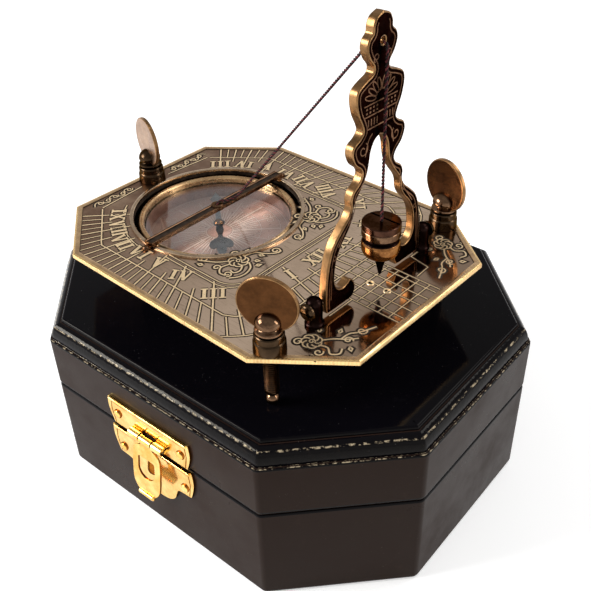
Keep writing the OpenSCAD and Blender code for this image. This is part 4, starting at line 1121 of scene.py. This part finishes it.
def build_posts():
    """Two turned posts and the pivot screws through them."""
    for side, name in ((-1, "front"), (1, "back")):
        first = side < 0
        turned_piece(name + "_post", "dial", "bronze_dark",
                     [(0, -2), (1.6, -2), (1.6, -1.62), (1.22, -1.62), (1.22, -0.28), (2.5, -0.28), (2.6, -0.18),
                      (2.6, 0.5), (2.35, 0.72), (2.2, 0.95), (2.12, 2.4), (2.2, 4.2), (2.15, 6.3), (2.1, 6.75),
                      (1.95, 7.15), (1.55, 7.65), (1.0, 7.95), (0, 8.1)],
                     (POST_X, side * POST_Y, 0), 48, ["bracket_posts"] if first else ())
        bm = bmesh.new()
        turned(bm, [(0, 0), (0.55, 0), (0.75, 0.3), (0.75, 8.55), (2.2, 8.55), (2.3, 8.65), (2.3, 9.2), (2.2, 9.4),
                    (1.9, 9.75), (1.5, 9.95), (0.26, 10.0)], (POST_X, side * 17, PIVOT_Z), 40, (0, side, 0))
        # Two planes cut the head, and the faces between them go, which leaves the screwdriver slot
        for height in (PIVOT_Z - SLOT, PIVOT_Z + SLOT):
            bmesh.ops.bisect_plane(bm, geom=everything(bm), plane_co=(POST_X, 0, height), plane_no=(0, 0, 1))
        middles = {f: f.calc_center_median() for f in bm.faces}
        gone = [f for f, m in middles.items() if abs(m.z - PIVOT_Z) < SLOT and abs(m.y) > 26.55]
        bmesh.ops.delete(bm, geom=gone, context="FACES")
        disc = verts_of(extruded(bm, circle(0, 0, 2.15, 24), 0, 0.1))
        bmesh.ops.transform(bm, matrix=Matrix.Translation((POST_X, side * 26.4, PIVOT_Z)) @ UPRIGHT, verts=disc)
        add_piece(bm, name + "_pivot_screw", "dial", ("bronze",), ["pivot_screws"] if first else ())


def build_screw(name, x, y, turn, fittings, face, dome):
    """A levelling screw with a real thread, its ball foot, thumb disc and bush."""
    pitch, r, steps = mm(fittings.pitch), mm(fittings.thread) / 2, 28
    low, high = -14.6, 5.3
    rounds, core = int((high - low) / pitch), r - pitch * 0.55
    bm = bmesh.new()
    tooth = [(r, 0), (r, 0.14), (core, 0.5), (core, 0.62), (r, 0.98), (r, 1)]
    verts = [bm.verts.new((radius, 0, low + pitch * share)) for radius, share in tooth]
    edges = [bm.edges.new(pair) for pair in zip(verts, verts[1:])]
    bmesh.ops.spin(bm, geom=verts + edges, cent=(0, 0, 0), axis=(0, 0, 1), angle=math.tau * rounds,
                   steps=steps * rounds, dvec=(0, 0, pitch / steps), use_merge=False, use_duplicate=False)
    bmesh.ops.remove_doubles(bm, verts=bm.verts, dist=1e-3)
    bmesh.ops.recalc_face_normals(bm, faces=bm.faces)
    turned(bm, [(0, low - 0.1), (r - 0.25, low - 0.1), (r, low + 0.2), (r, low + pitch), (core, low + pitch + 0.1)],
           (0, 0, 0), steps)
    # Painted light: the thread's flanks that face up take the pale copper, those that face down stay dark bronze
    paint(bm.faces, lambda n, m: 2 if n.z > 0.2 else 0)
    known = set(bm.faces)
    turned(bm, [(1.4, 5.2), (3.2, 5.38), (3.5, 5.45), (3.7, 5.7), (3.72, 5.95), (3.6, 6.2), (3.15, 6.45), (2.9, 6.6),
                (2.72, 6.8), (2.72, 7.0), (3.0, 7.2), (3.35, 7.42)] + oval(0, 7.8, 3.5, 3.0, range(0, 91, 9)),
           (0, 0, 0), 64)
    paint(fresh(bm, known), lambda n, m: 1)
    turn_it = Matrix.Translation((x, y, 0)) @ Matrix.Rotation(math.radians(turn), 4, "Z")
    bmesh.ops.transform(bm, matrix=turn_it, verts=bm.verts)
    add_piece(bm, name + "_levelling_screw", name + "_thumbscrew", ("bronze", dome, "copper_dome"),
              [name + "_screw"])

    disc_place = turn_it @ Matrix.Translation((0, 0, DISC_Z))
    bm = bmesh.new()
    turned(bm, [(0, -0.62), (7.3, -0.62), (7.62, -0.64), (7.86, -0.55), (8.0, -0.35), (8.0, 0.35), (7.86, 0.55),
                (7.62, 0.64), (7.3, 0.62), (0, 0.62)], (0, 0, 0), 96)
    paint(bm.faces, lambda n, m: 1 if math.hypot(m.x, m.y) > 7.66 else 0)
    bmesh.ops.transform(bm, matrix=disc_place @ UPRIGHT, verts=bm.verts)
    add_piece(bm, name + "_thumb_disc", name + "_thumbscrew", (face, "worn_edge"), [name + "_disc"])
    if name == "tail":
        marks = []
        for k, a in ((1, 0.5), (2, 1.6), (3, 2.7), (1, 5.9), (2, 3.6)):
            start = math.degrees(a) * k
            marks.append((spiral(1.9 * math.cos(a), 0.8 + 3.9 * math.sin(a), 1.15, 0.3, start, start + 400, 16), 0.36))
        marks.append((arc(0, 0, 6.6, 20, 160, 24), 0.3))
        # The marks' sloping sides take the dark copper as painted shade
        for face_name, flip in (("near", 90), ("far", -90)):
            onto = DIAL @ disc_place @ Matrix.Rotation(math.radians(flip), 4, "X")
            relief("tail_disc_marks_" + face_name, marks, 0.07, "tail_thumbscrew", onto, 0.6, 0.0, "disc_pale",
                   "copper_cap")

    ball = oval(0, FOOT_Z + 1.8, 1.8, 1.8, range(-90, 53, 8)) + [(1.1, FOOT_Z + 3.25), (1.1, -14.72), (0, -14.72)]
    turned_piece(name + "_ball", name + "_foot", "copper_dome", ball, (x, y, 0), 48, [name + "_foot"])
    bush = [(r, FIELD_Z + 0.02 + h) for r, h in (
        (2.05, 0), (4.2, 0), (4.3, 0.15), (4.3, 0.4), (4.2, 2.8), (4.1, 3.05), (3.95, 3.25), (3.86, 3.4), (3.92, 3.55),
        (3.92, 4.85), (3.8, 5.1), (3.6, 5.27), (2.4, 5.3), (2.05, 5.1), (2.05, 0))]
    turned_piece(name + "_bush", "dial", "bronze", bush, (x, y, 0), 64,
                 ["screw_bushes"] if name == "front" else ())


def build_bob():
    """Slotted cap over a turned bulb with a dark cone tip."""
    z, c = BOB_Z, (HANG_X, 0, 0)
    bm = bmesh.new()
    cap = ((0, -4), (4.95, -4), (5.12, -3.9), (5.2, -3.7), (5.2, -2.1), (5.1, -1.95), (5.1, -1.8), (5.2, -1.65),
           (5.2, -0.3), (5.12, -0.12), (4.95, 0), (0, 0))
    turned(bm, [(r, z + h) for r, h in cap], c, 96)
    near, far = 1.1, 1.8
    for y in (near, far):
        bmesh.ops.bisect_plane(bm, geom=everything(bm), plane_co=(0, y, 0), plane_no=(0, 1, 0))
    middles = {f: f.calc_center_median() for f in bm.faces}
    groove = [f for f, m in middles.items() if near < m.y < far and m.z > z - 0.01]
    bmesh.ops.inset_region(bm, faces=groove, thickness=0.02, depth=-0.6, use_boundary=True)
    paint(bm.faces, lambda n, m: 1 if m.z < z - 1.9 and math.hypot(m.x - HANG_X, m.y) > 4.6 else 0)
    add_piece(bm, "bob_top", "pendulum", ("copper_cap", "copper_dome"), ["bob_cap"])

    bm = bmesh.new()
    bulb = [(0, -16.7), (0.22, -16.62), (0.42, -16.3), (0.62, -15.4), (0.9, -14), (1.25, -12.7), (1.7, -11.6),
            (2.0, -11.1), (2.3, -10.75)] + oval(2.6, -7.6, 2.6, 2.9, range(-90, 1, 10))
    bulb += [(5.2, -6.3), (5.1, -6.0), (4.9, -5.6), (4.75, -5.3), (4.3, -5.05), (4.1, -4.85), (4.1, -4.02), (0, -4.02)]
    turned(bm, [(r, z + h) for r, h in bulb], c, 96)
    paint(bm.faces, lambda n, m: 0 if -10.6 <= m.z - z <= -5.5 else 1)
    add_piece(bm, "bob_bulb", "pendulum", ("bulb_gold", "bronze_dark"), ["bob_body"])


# Strings


def resampled(path, step):
    """Points at even distances along a path."""
    out, left = [Vector(path[0])], 0.0
    for a, b in zip(path, path[1:]):
        a, b = Vector(a), Vector(b)
        length, at = (b - a).length, step - left
        while at <= length:
            out.append(a.lerp(b, at / length))
            at += step
        left = length - (at - step)
    if (out[-1] - Vector(path[-1])).length > step * 0.3:
        out.append(Vector(path[-1]))
    return out


PLY_STEPS = 12  # points in one turn of the twist


def twisted(bm, path, fittings, phase=0.0):
    """Two plies laid round each other along a path: each is a curve with thickness, turned into a mesh."""
    points = resampled(path, mm(fittings.lay) / PLY_STEPS)
    ups, side = [], None
    for i in range(len(points)):
        t = (points[min(i + 1, len(points) - 1)] - points[max(i - 1, 0)]).normalized()
        side = (side - t * side.dot(t)).normalized() if side else t.orthogonal().normalized()
        ups.append((side, t.cross(side)))
    for ply in (0, 1):
        curve = bpy.data.curves.new("ply", "CURVE")
        curve.dimensions, curve.use_fill_caps = "3D", True
        curve.bevel_depth, curve.bevel_resolution = STRING_D * 0.255, 2
        line = curve.splines.new("POLY")
        line.points.add(len(points) - 1)
        for i, p in enumerate(points):
            a = phase + math.pi * ply + math.tau * i / PLY_STEPS
            q = p + (ups[i][0] * math.cos(a) + ups[i][1] * math.sin(a)) * STRING_D * 0.235
            line.points[i].co = (*q, 1)
        obj = bpy.data.objects.new("ply", curve)
        bpy.context.scene.collection.objects.link(obj)
        mesh = bpy.data.meshes.new_from_object(obj.evaluated_get(bpy.context.evaluated_depsgraph_get()))
        known = set(bm.faces)
        bm.from_mesh(mesh)
        for f in fresh(bm, known):
            f.material_index = ply
        bpy.data.objects.remove(obj)
        bpy.data.curves.remove(curve)
        bpy.data.meshes.remove(mesh)
    return points


def row_points(points):
    return [tuple(DIAL @ Vector(p)) for p in points]


def string_object(name, path, fittings, phase=0.0):
    """A twisted string along a path. Returns its object and the points of its middle."""
    bm = bmesh.new()
    points = row_points(twisted(bm, path, fittings, phase))
    return mesh_object(bm, name, DIAL, ("string_red", "string_dark")), points


def build_strings(fittings):
    """The gnomon string from the bracket to the bar's eyelet, its bend out of the hole, and the pendulum string."""
    knot = [(COMPASS_X + x, y, z) for x, y, z in (
        (1.5, 7, 2.12), (1.2, 4.6, 2.1), (0.8, 3, 2.1), (0.55, 2.2, 2.46), (0.35, 1.6, 2.62), (0.2, 1, 2.62),
        (0.08, 0.5, 2.56), (0, 0.15, 2.25), (0, 0, 1.75), (0, 0, 1))]
    route = [(BRACKET_X - BRACKET_T / 2 - 0.45, 0, HOLE_Z - 0.3)] + knot
    gnomon, points = string_object("string_to_the_bar", route, fittings)
    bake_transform(gnomon)
    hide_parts("gnomon_string")

    start, low, tight = FACE_X + 0.1, HOLE_Z - 0.35, 1.08
    bend = [(FACE_X + 0.02, 0, low)]
    for a in (math.radians(step) for step in range(0, 91, 15)):
        bend.append((start + tight * math.sin(a), 0, low - tight * (1 - math.cos(a))))
    piece, points = string_object("string_bend_over", bend, fittings, 0.6)
    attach(piece, "knot")
    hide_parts("string_bend")

    route = [(start + tight, 0, low - tight + 0.1), (HANG_X, 0, BOB_Z - 1.4)]
    hanging, points = string_object("string_of_the_bob", route, fittings, 1.4)
    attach(hanging, "pendulum")
    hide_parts("pendulum_string")


# Latch and hinges, in millimetres on the front of the case


LATCH_X, LATCH_L, SHEET, FRONT_Y = 0.8, 32.4, 0.7, 58.7
ON_FRONT = Matrix.Translation((LATCH_X * MM, -FRONT_Y * MM, 0)) @ CASE
PIN_Y, PIN_Z = -1.75, 36.5
NAIL_X = 12.8
BRASS = ("brass", "brass_painted_shade")


def wing(top, low):
    """The curved end of a latch sheet."""
    return [(LATCH_L / 2 + 1.1 * math.sin(math.pi * t) * (1 - t * 0.4) - 1.2 * t, top + (low - top) * t)
            for t in (k / 8 for k in range(9))]


def front_sheet(bm, half, rounding, lip_low, lip_high):
    """A sheet on the front of the case from half its outline, with a lip along its top."""
    outline = half + [(-x, z) for x, z in reversed(half) if x > 1e-6]
    # Painted shade: the sheet's side and under walls take the dark brass
    paint(extruded(bm, outline, 0.0, SHEET, "Y"), lambda n, m: 1 if abs(n.y) < 0.5 and n.z < 0.5 else 0)
    bevel_sharp(bm, rounding, 40, 2)
    x = LATCH_L / 2 - 0.6
    lip = extruded(bm, rounded([(-x, 0), (-x, 1.2), (x, 1.2), (x, 0)], 0.3, 3), lip_low, lip_high)
    bmesh.ops.transform(bm, matrix=Matrix.Scale(-1, 4, (0, 1, 0)), verts=verts_of(lip))
    bmesh.ops.recalc_face_normals(bm, faces=lip)
    bevel_sharp(bm, 0.2, 40, 3, lip)


def build_plates():
    """Catch plate with its tongue, latch plate with knuckles, their nails and embossed lines."""
    bm = bmesh.new()
    half = wing(33.1, 22.6) + spline([(14.0, 22.4), (9.9, 21.9), (8.6, 19.8), (7.6, 17.2), (5.3, 15.1), (2.6, 14.35),
                                      (0, 14.3)], 4)
    front_sheet(bm, half, 0.16, 32.2, 33.1)
    known = set(bm.faces)
    bridge_rings(bm, [at_height(oval(0, 0, -2.7, -d, range(0, 181, 15)), z) for d, z in (
        (2.0, 23.6), (2.3, 23.75), (2.4, 24.1), (2.25, 24.9), (1.95, 25.9), (1.55, 27.0), (1.15, 28.1), (0.72, 29),
        (0.4, 29.4))])
    # Painted shade: the tongue is all in the dark brass
    paint(fresh(bm, known), lambda n, m: 1)
    add_piece(bm, "catch", "base", BRASS, ["catch_plate"], ON_FRONT)

    for body, z, name in (("base", 25.4, "catch_nails"), ("lid", 38.7, "latch_nails")):
        bm = bmesh.new()
        for side in (-1, 1):
            at = (side * NAIL_X, -SHEET, z)
            turned(bm, [(1.5, 0), (1.46, 0.2), (1.3, 0.45), (1.05, 0.64), (0.7, 0.78), (0.35, 0.84), (0, 0.86)],
                   at, 40, (0, -1, 0))
            turned(bm, [(0, -4.6), (0.25, -4.2), (0.6, -3.6), (0.6, 0.02), (1.5, 0)], at, 24, (0, -1, 0))
        # Painted shade: a dark ring round each nail head
        paint(bm.faces, lambda n, m: 1 if math.hypot(abs(m.x) - NAIL_X, m.z - z) > 1.2 else 0)
        add_piece(bm, name + "_round", body, BRASS, [name], ON_FRONT)

    # Embossed lines inside the two plates' edges, their tops in the dark brass as the painted shade of a groove
    for body, top, low in (("base", 33.1, 22.9), ("lid", 44.0, 34.6)):
        bm = bmesh.new()
        runs = [(-14.7, 14.7)] if body == "lid" else [(-14.7, -6.6), (14.7, 6.6)]
        lines = [([(a, top - 1.5), (b, top - 1.5)], 0.5) for a, b in runs]
        lines += [([(side * 14.9, top - 1.2), (side * 15.2, (top + low) / 2), (side * 14.3, low)], 0.4)
                  for side in (-1, 1)]
        raise_lines(bm, lines, 0.05, SHEET + 0.01)
        add_piece(bm, "embossed_lines_" + body, body, BRASS[::-1], (), ON_FRONT @ UPRIGHT)

    bm = bmesh.new()
    front_sheet(bm, wing(44, 34.3) + [(6.0, 34.3), (2.62, 34.3), (2.62, 38.5), (0, 38.6)], 0.14, 43.1, 44.0)
    for middle in (-4.75, 4.75):
        left, right = middle - 2.05, middle + 2.05
        turned(bm, sleeve(0.56, 1.35, 0.15, 4.1), (left, PIN_Y, PIN_Z), 40, (1, 0, 0))
        known = set(bm.faces)
        link = extruded(bm, [(left, 36.3), (right, 36.3), (right, 37.6), (left, 37.6)], 0.3, 1.9, "Y")
        bevel_sharp(bm, 0.3, 40, 3, link)
        # Painted shade: the links between the plate and the knuckles take the dark brass
        paint(fresh(bm, known), lambda n, m: 1)
    add_piece(bm, "latch", "lid", BRASS, ["latch_plate"], ON_FRONT)


def build_hasp():
    """The hasp with its window and thumb roll, and the pin that it turns on."""
    turned_piece("pin_of_the_hasp", "lid", "dark_pin",
                 [(0, 0), (0.4, 0), (0.52, 0.12), (0.52, 13.68), (0.4, 13.8), (0, 13.8)], (-6.9, PIN_Y, PIN_Z), 24,
                 ["hasp_pin"], ON_FRONT, (1, 0, 0))
    # The hasp is made hanging straight down from its pin, then swung out as it is stored
    outer = [(2.35, 0), (2.35, -1.9), (2.9, -2.35), (4.2, -3), (5.2, -3.9), (5.6, -4.8), (5.8, -8), (5.7, -13)]
    outer += oval(0, -14.6, 5.6, -5.6, range(0, 91, 10))
    window = [(0, -6.5), (2.6, -6.5), (3.15, -6.65), (3.35, -7.2), (3.4, -10.5)]
    window += oval(0, -10.6, 3.4, -3.2, range(0, 91, 10))
    outer[-1], window[-1] = (0, outer[-1][1]), (0, window[-1][1])
    bm = bmesh.new()
    mirrored_solid(bm, outer + window[::-1] + [(0, 0)], -SHEET / 2, SHEET / 2, "Y", "X")
    bevel_sharp(bm, 0.18, 50, 3)
    # Painted shade: the hasp's side and under walls and the walls of its window take the dark brass
    paint(bm.faces, lambda n, m: 1 if abs(n.y) < 0.8 and (n.z < 0.5 or abs(m.x) < 3.45 and m.z > -13.9) else 0)
    turned(bm, sleeve(0.56, 1.3, 0.15, 4.7), (-2.35, 0, 0), 40, (1, 0, 0))
    turned(bm, [(0, 0), (0.35, 0), (0.65, 0.2), (0.8, 0.6), (0.8, 5.8), (0.65, 6.2), (0.35, 6.4), (0, 6.4)],
           (-3.2, -SHEET / 2 + 0.1, -19.6), 32, (1, 0, 0))
    swing = Matrix.Translation((0, PIN_Y, PIN_Z)) @ Matrix.Rotation(math.radians(-8), 4, "X")
    add_piece(bm, "hasp_plate", "hasp", BRASS, ["hasp"], ON_FRONT @ swing)


HINGES_X = (-25, 25)


def build_hinges(case):
    """Two butt hinges at the back: leaves, knuckles, pins and countersunk screws."""
    y, z = mm(case.width) / 2 + 1.55, 33.84
    leaf_y, half, knuckle = y - 0.75, 11, 4.4
    for side, body, low, high in ((-1, "base", -10, -0.5), (1, "lid", 0.6, 10)):
        bm = bmesh.new()
        for x in HINGES_X:
            corners = [(x - half, z + low), (x + half, z + low), (x + half, z + high), (x - half, z + high)]
            leaves = extruded(bm, rounded(corners, 0.5, 3), 0, 0.8, "Y")
            bmesh.ops.translate(bm, verts=verts_of(leaves), vec=(0, leaf_y, 0))
            bevel_sharp(bm, 0.12, 40, 2, leaves)
            for k in range(1 if side > 0 else 0, 5, 2):
                turned(bm, sleeve(0.72, 1.4, 0.1, 4.2), (x - half + k * knuckle + 0.1, y, z), 32, (1, 0, 0))
        add_piece(bm, "hinge_leaves_" + body, body, ("hinge_brass",), [body + "_hinge_leaves"], CASE)

        bm = bmesh.new()
        for x in (middle + dx for middle in HINGES_X for dx in (-6.6, 6.6)):
            turned(bm, [(0, -5), (0.5, -4.4), (0.7, -3.6), (0.7, -1.0), (1.55, -0.05), (1.7, 0.02), (1.6, 0.14),
                        (1.1, 0.26), (0, 0.3)], (x, leaf_y, z + side * 6.2), 28, (0, 1, 0))
        add_piece(bm, "hinge_screws_" + body, body, ("brass",), [body + "_hinge_screws"], CASE)
    bm = bmesh.new()
    for x in HINGES_X:
        turned(bm, [(0, -0.2), (0.5, -0.2), (0.68, 0), (0.68, 22.2), (0.5, 22.4), (0, 22.4)], (x - 11.1, y, z), 24,
               (1, 0, 0))
    add_piece(bm, "hinge_pins_pair", "lid", ("hinge_brass",), ["hinge_pins"], CASE)


# Stage: floor, lights and camera


LIT_POINT = Vector((0, 0, 0.06))
CAMERA_PLACE = Vector((0.1414, -0.15765, 0.2086))
CAMERA_SHIFT = (-0.0217, -0.0303)


def build_stage(s):
    """A pale floor, three soft lights, a white background and the camera at the photograph's angle."""
    scene = bpy.context.scene
    bm = bmesh.new()
    bmesh.ops.create_grid(bm, x_segments=1, y_segments=1, size=3.0)
    mesh = bpy.data.meshes.new("floor")
    bm.to_mesh(mesh)
    bm.free()
    floor = bpy.data.objects.new("floor", mesh)
    f = Finish("floor", Metallic=0.0, Roughness=0.9)
    f.colour((0.9, 0.9, 0.9))
    # The camera, metal and glass see the floor as white as the backdrop, still with the object's shadow on it
    seen_by = f.nodes.new("ShaderNodeLightPath").outputs
    mirrored = f.math("MAXIMUM", seen_by["Is Glossy Ray"], seen_by["Is Transmission Ray"])
    by_any = f.math("MAXIMUM", seen_by["Is Camera Ray"], mirrored)
    f.link((1, 1, 1), f.shader.inputs["Emission Color"])
    # Far from the object the camera sees it fade into the backdrop
    distance = f.put("ShaderNodeVectorMath", {0: f.place}, 1, operation="LENGTH")
    far = f.math("MULTIPLY", seen_by["Is Camera Ray"], f.span(distance, 0.45, 1.2))
    f.link(f.math("MAXIMUM", f.math("MULTIPLY", by_any, s.floor), far), f.shader.inputs["Emission Strength"])
    mesh.materials.append(FINISH["floor"])
    scene.collection.objects.link(floor)

    def area(name, where, wide, high, power, tint=(1, 1, 1)):
        light = bpy.data.lights.new(name, "AREA")
        light.shape, light.energy, light.color = "RECTANGLE", power, tint
        light.size, light.size_y = wide, high
        obj = bpy.data.objects.new(name, light)
        obj.location = where
        obj.rotation_euler = (LIT_POINT - Vector(where)).to_track_quat("-Z", "Y").to_euler()
        scene.collection.objects.link(obj)

    area("key", (-0.6, -0.62, 0.5), 0.45, 0.35, s.key)
    area("side", (0.75, 0.35, 0.45), 0.3, 0.5, s.fill, (1.0, 0.97, 0.93))
    area("back", (0.25, 0.62, 0.95), 0.6, 0.3, s.fill * 0.9, (0.95, 0.97, 1.0))

    world = bpy.data.worlds.new("studio")
    world.use_nodes = True
    nodes, links = world.node_tree.nodes, world.node_tree.links
    background = nodes["Background"]
    path = nodes.new("ShaderNodeLightPath")

    def number(how, a, b):
        node = nodes.new("ShaderNodeMath")
        node.operation = how
        for socket, value in zip(node.inputs, (a, b)):
            if hasattr(value, "is_linked"):
                links.new(value, socket)
            else:
                socket.default_value = value
        return node.outputs[0]

    # Metal and glass see the white backdrop up to the horizon's band, and a grey ceiling over it
    place = nodes.new("ShaderNodeTexCoord")
    split = nodes.new("ShaderNodeSeparateXYZ")
    links.new(place.outputs["Generated"], split.inputs[0])
    band = nodes.new("ShaderNodeMapRange")
    band.interpolation_type = "SMOOTHSTEP"
    links.new(split.outputs["Z"], band.inputs["Value"])
    for key, value in (("From Min", 0.2), ("From Max", 0.5), ("To Min", 1.0), ("To Max", s.ceiling)):
        band.inputs[key].default_value = value
    mirror = number("MAXIMUM", path.outputs["Is Glossy Ray"], path.outputs["Is Transmission Ray"])
    seen = number("MULTIPLY", mirror, band.outputs["Result"])
    plain = number("MULTIPLY", number("SUBTRACT", 1.0, mirror), s.sky)
    background.inputs["Color"].default_value = (1, 1, 1, 1)
    strength = number("MAXIMUM", path.outputs["Is Camera Ray"], number("ADD", seen, plain))
    links.new(strength, background.inputs["Strength"])
    scene.world = world
    scene.view_settings.view_transform = "Standard"

    camera = bpy.data.cameras.new("camera")
    camera.lens, camera.sensor_width = s.lens, 36
    camera.shift_x, camera.shift_y = CAMERA_SHIFT
    obj = bpy.data.objects.new("camera", camera)
    right = Vector((math.cos(s.azimuth), math.sin(s.azimuth), 0))
    level_back = Vector((math.sin(s.azimuth), -math.cos(s.azimuth), 0))
    back = level_back * math.cos(s.elevation) + Vector((0, 0, math.sin(s.elevation)))
    up = back.cross(right)
    right, up = right * math.cos(s.roll) + up * math.sin(s.roll), -right * math.sin(s.roll) + up * math.cos(s.roll)
    place = Matrix((right, up, back)).transposed().to_4x4()
    place.translation = CAMERA_PLACE
    obj.matrix_world = place
    scene.collection.objects.link(obj)
    scene.camera = obj


# Operators and panel


class SUNDIAL_OT_finishes(bpy.types.Operator):
    """Makes every procedural finish"""

    bl_idname = "sundial.finishes"
    bl_label = "Finishes"

    def execute(self, context):
        make_finishes(context.scene.sundial_colours)
        return {"FINISHED"}


class SUNDIAL_OT_case(bpy.types.Operator):
    """Builds the lacquered case with its padded linings"""

    bl_idname = "sundial.case"
    bl_label = "Case"

    def execute(self, context):
        build_case(context.scene.sundial_case)
        return {"FINISHED"}


class SUNDIAL_OT_latch(bpy.types.Operator):
    """Builds the catch, the latch plate, the hasp and their nails"""

    bl_idname = "sundial.latch"
    bl_label = "Latch"

    def execute(self, context):
        build_plates()
        build_hasp()
        return {"FINISHED"}


class SUNDIAL_OT_hinges(bpy.types.Operator):
    """Builds the two hinges at the back of the case"""

    bl_idname = "sundial.hinges"
    bl_label = "Hinges"

    def execute(self, context):
        build_hinges(context.scene.sundial_case)
        return {"FINISHED"}


class SUNDIAL_OT_plate(bpy.types.Operator):
    """Builds the dial plate with its rim and the lip round the compass"""

    bl_idname = "sundial.plate"
    bl_label = "Dial plate"

    def execute(self, context):
        build_plate(context.scene.sundial_dial)
        return {"FINISHED"}


class SUNDIAL_OT_relief(bpy.types.Operator):
    """Raises the hour scale, the numerals and the ornament on the plate"""

    bl_idname = "sundial.relief"
    bl_label = "Dial relief"

    def execute(self, context):
        dial = context.scene.sundial_dial
        build_scale(dial)
        build_numerals(dial)
        build_ornaments(dial)
        return {"FINISHED"}


class SUNDIAL_OT_compass(bpy.types.Operator):
    """Builds the compass: bowl, bezel, glass, card and needle"""

    bl_idname = "sundial.compass"
    bl_label = "Compass"

    def execute(self, context):
        build_compass(context.scene.sundial_fittings)
        return {"FINISHED"}


class SUNDIAL_OT_bar(bpy.types.Operator):
    """Builds the gnomon bar with its eyelet and rivets"""

    bl_idname = "sundial.bar"
    bl_label = "Gnomon bar"

    def execute(self, context):
        build_bar()
        return {"FINISHED"}


class SUNDIAL_OT_bracket(bpy.types.Operator):
    """Builds the folding bracket with its posts and pivot screws"""

    bl_idname = "sundial.bracket"
    bl_label = "Bracket"

    def execute(self, context):
        build_bracket(context.scene.sundial_fittings)
        build_posts()
        return {"FINISHED"}


class SUNDIAL_OT_screws(bpy.types.Operator):
    """Builds the three levelling screws with their bushes, ball feet and thumb discs"""

    bl_idname = "sundial.screws"
    bl_label = "Levelling screws"

    def execute(self, context):
        fittings = context.scene.sundial_fittings
        build_screw("front", PAIR_X, -PAIR_Y, 25, fittings, "disc_face", "copper_dome")
        build_screw("back", PAIR_X, PAIR_Y, -15, fittings, "disc_face", "copper_dome")
        build_screw("tail", -TAIL_X, 0, -16, fittings, "disc_pale", "bronze")
        return {"FINISHED"}


class SUNDIAL_OT_bob(bpy.types.Operator):
    """Builds the pendulum's bob"""

    bl_idname = "sundial.bob"
    bl_label = "Bob"

    def execute(self, context):
        build_bob()
        return {"FINISHED"}


class SUNDIAL_OT_strings(bpy.types.Operator):
    """Lays the twisted gnomon and pendulum strings"""

    bl_idname = "sundial.strings"
    bl_label = "Strings"

    def execute(self, context):
        build_strings(context.scene.sundial_fittings)
        return {"FINISHED"}


class SUNDIAL_OT_stage(bpy.types.Operator):
    """Sets the floor, the lights, the world and the camera"""

    bl_idname = "sundial.stage"
    bl_label = "Stage"

    def execute(self, context):
        build_stage(context.scene.sundial_stage)
        return {"FINISHED"}


class SUNDIAL_PT_panel(bpy.types.Panel):
    """Lists the settings and the pieces"""

    bl_idname = "SUNDIAL_PT_panel"
    bl_label = "Sundial"
    bl_space_type = "VIEW_3D"
    bl_region_type = "UI"
    bl_category = "Sundial"

    def draw(self, context):
        layout = self.layout
        for name in GROUPS:
            box = layout.box()
            group = getattr(context.scene, name)
            for key in group.bl_rna.properties.keys():
                if key not in ("name", "rna_type"):
                    box.prop(group, key)
        for cls in OPERATORS:
            layout.operator(cls.bl_idname)


GROUPS = {"sundial_case": CaseSizes, "sundial_dial": DialSizes, "sundial_fittings": FittingSizes,
          "sundial_colours": FinishColours, "sundial_stage": StageSettings}
OPERATORS = (SUNDIAL_OT_finishes, SUNDIAL_OT_stage, SUNDIAL_OT_strings, SUNDIAL_OT_case, SUNDIAL_OT_latch,
             SUNDIAL_OT_hinges, SUNDIAL_OT_plate, SUNDIAL_OT_relief, SUNDIAL_OT_compass, SUNDIAL_OT_bar,
             SUNDIAL_OT_bracket, SUNDIAL_OT_screws, SUNDIAL_OT_bob)


def register():
    for name, group in GROUPS.items():
        bpy.utils.register_class(group)
        setattr(bpy.types.Scene, name, PointerProperty(type=group))
    for cls in OPERATORS + (SUNDIAL_PT_panel,):
        bpy.utils.register_class(cls)


def unregister():
    for cls in reversed(OPERATORS + (SUNDIAL_PT_panel,)):
        bpy.utils.unregister_class(cls)
    for name, group in reversed(list(GROUPS.items())):
        delattr(bpy.types.Scene, name)
        bpy.utils.unregister_class(group)


def main():
    register()
    bpy.ops.sundial.finishes()
    bpy.ops.sundial.stage()
    bpy.ops.sundial.strings()
    bpy.ops.sundial.case()
    bpy.ops.sundial.latch()
    bpy.ops.sundial.hinges()
    bpy.ops.sundial.plate()
    bpy.ops.sundial.relief()
    bpy.ops.sundial.compass()
    bpy.ops.sundial.bar()
    bpy.ops.sundial.bracket()
    bpy.ops.sundial.screws()
    bpy.ops.sundial.bob()


if __name__ == "__main__":
    main()
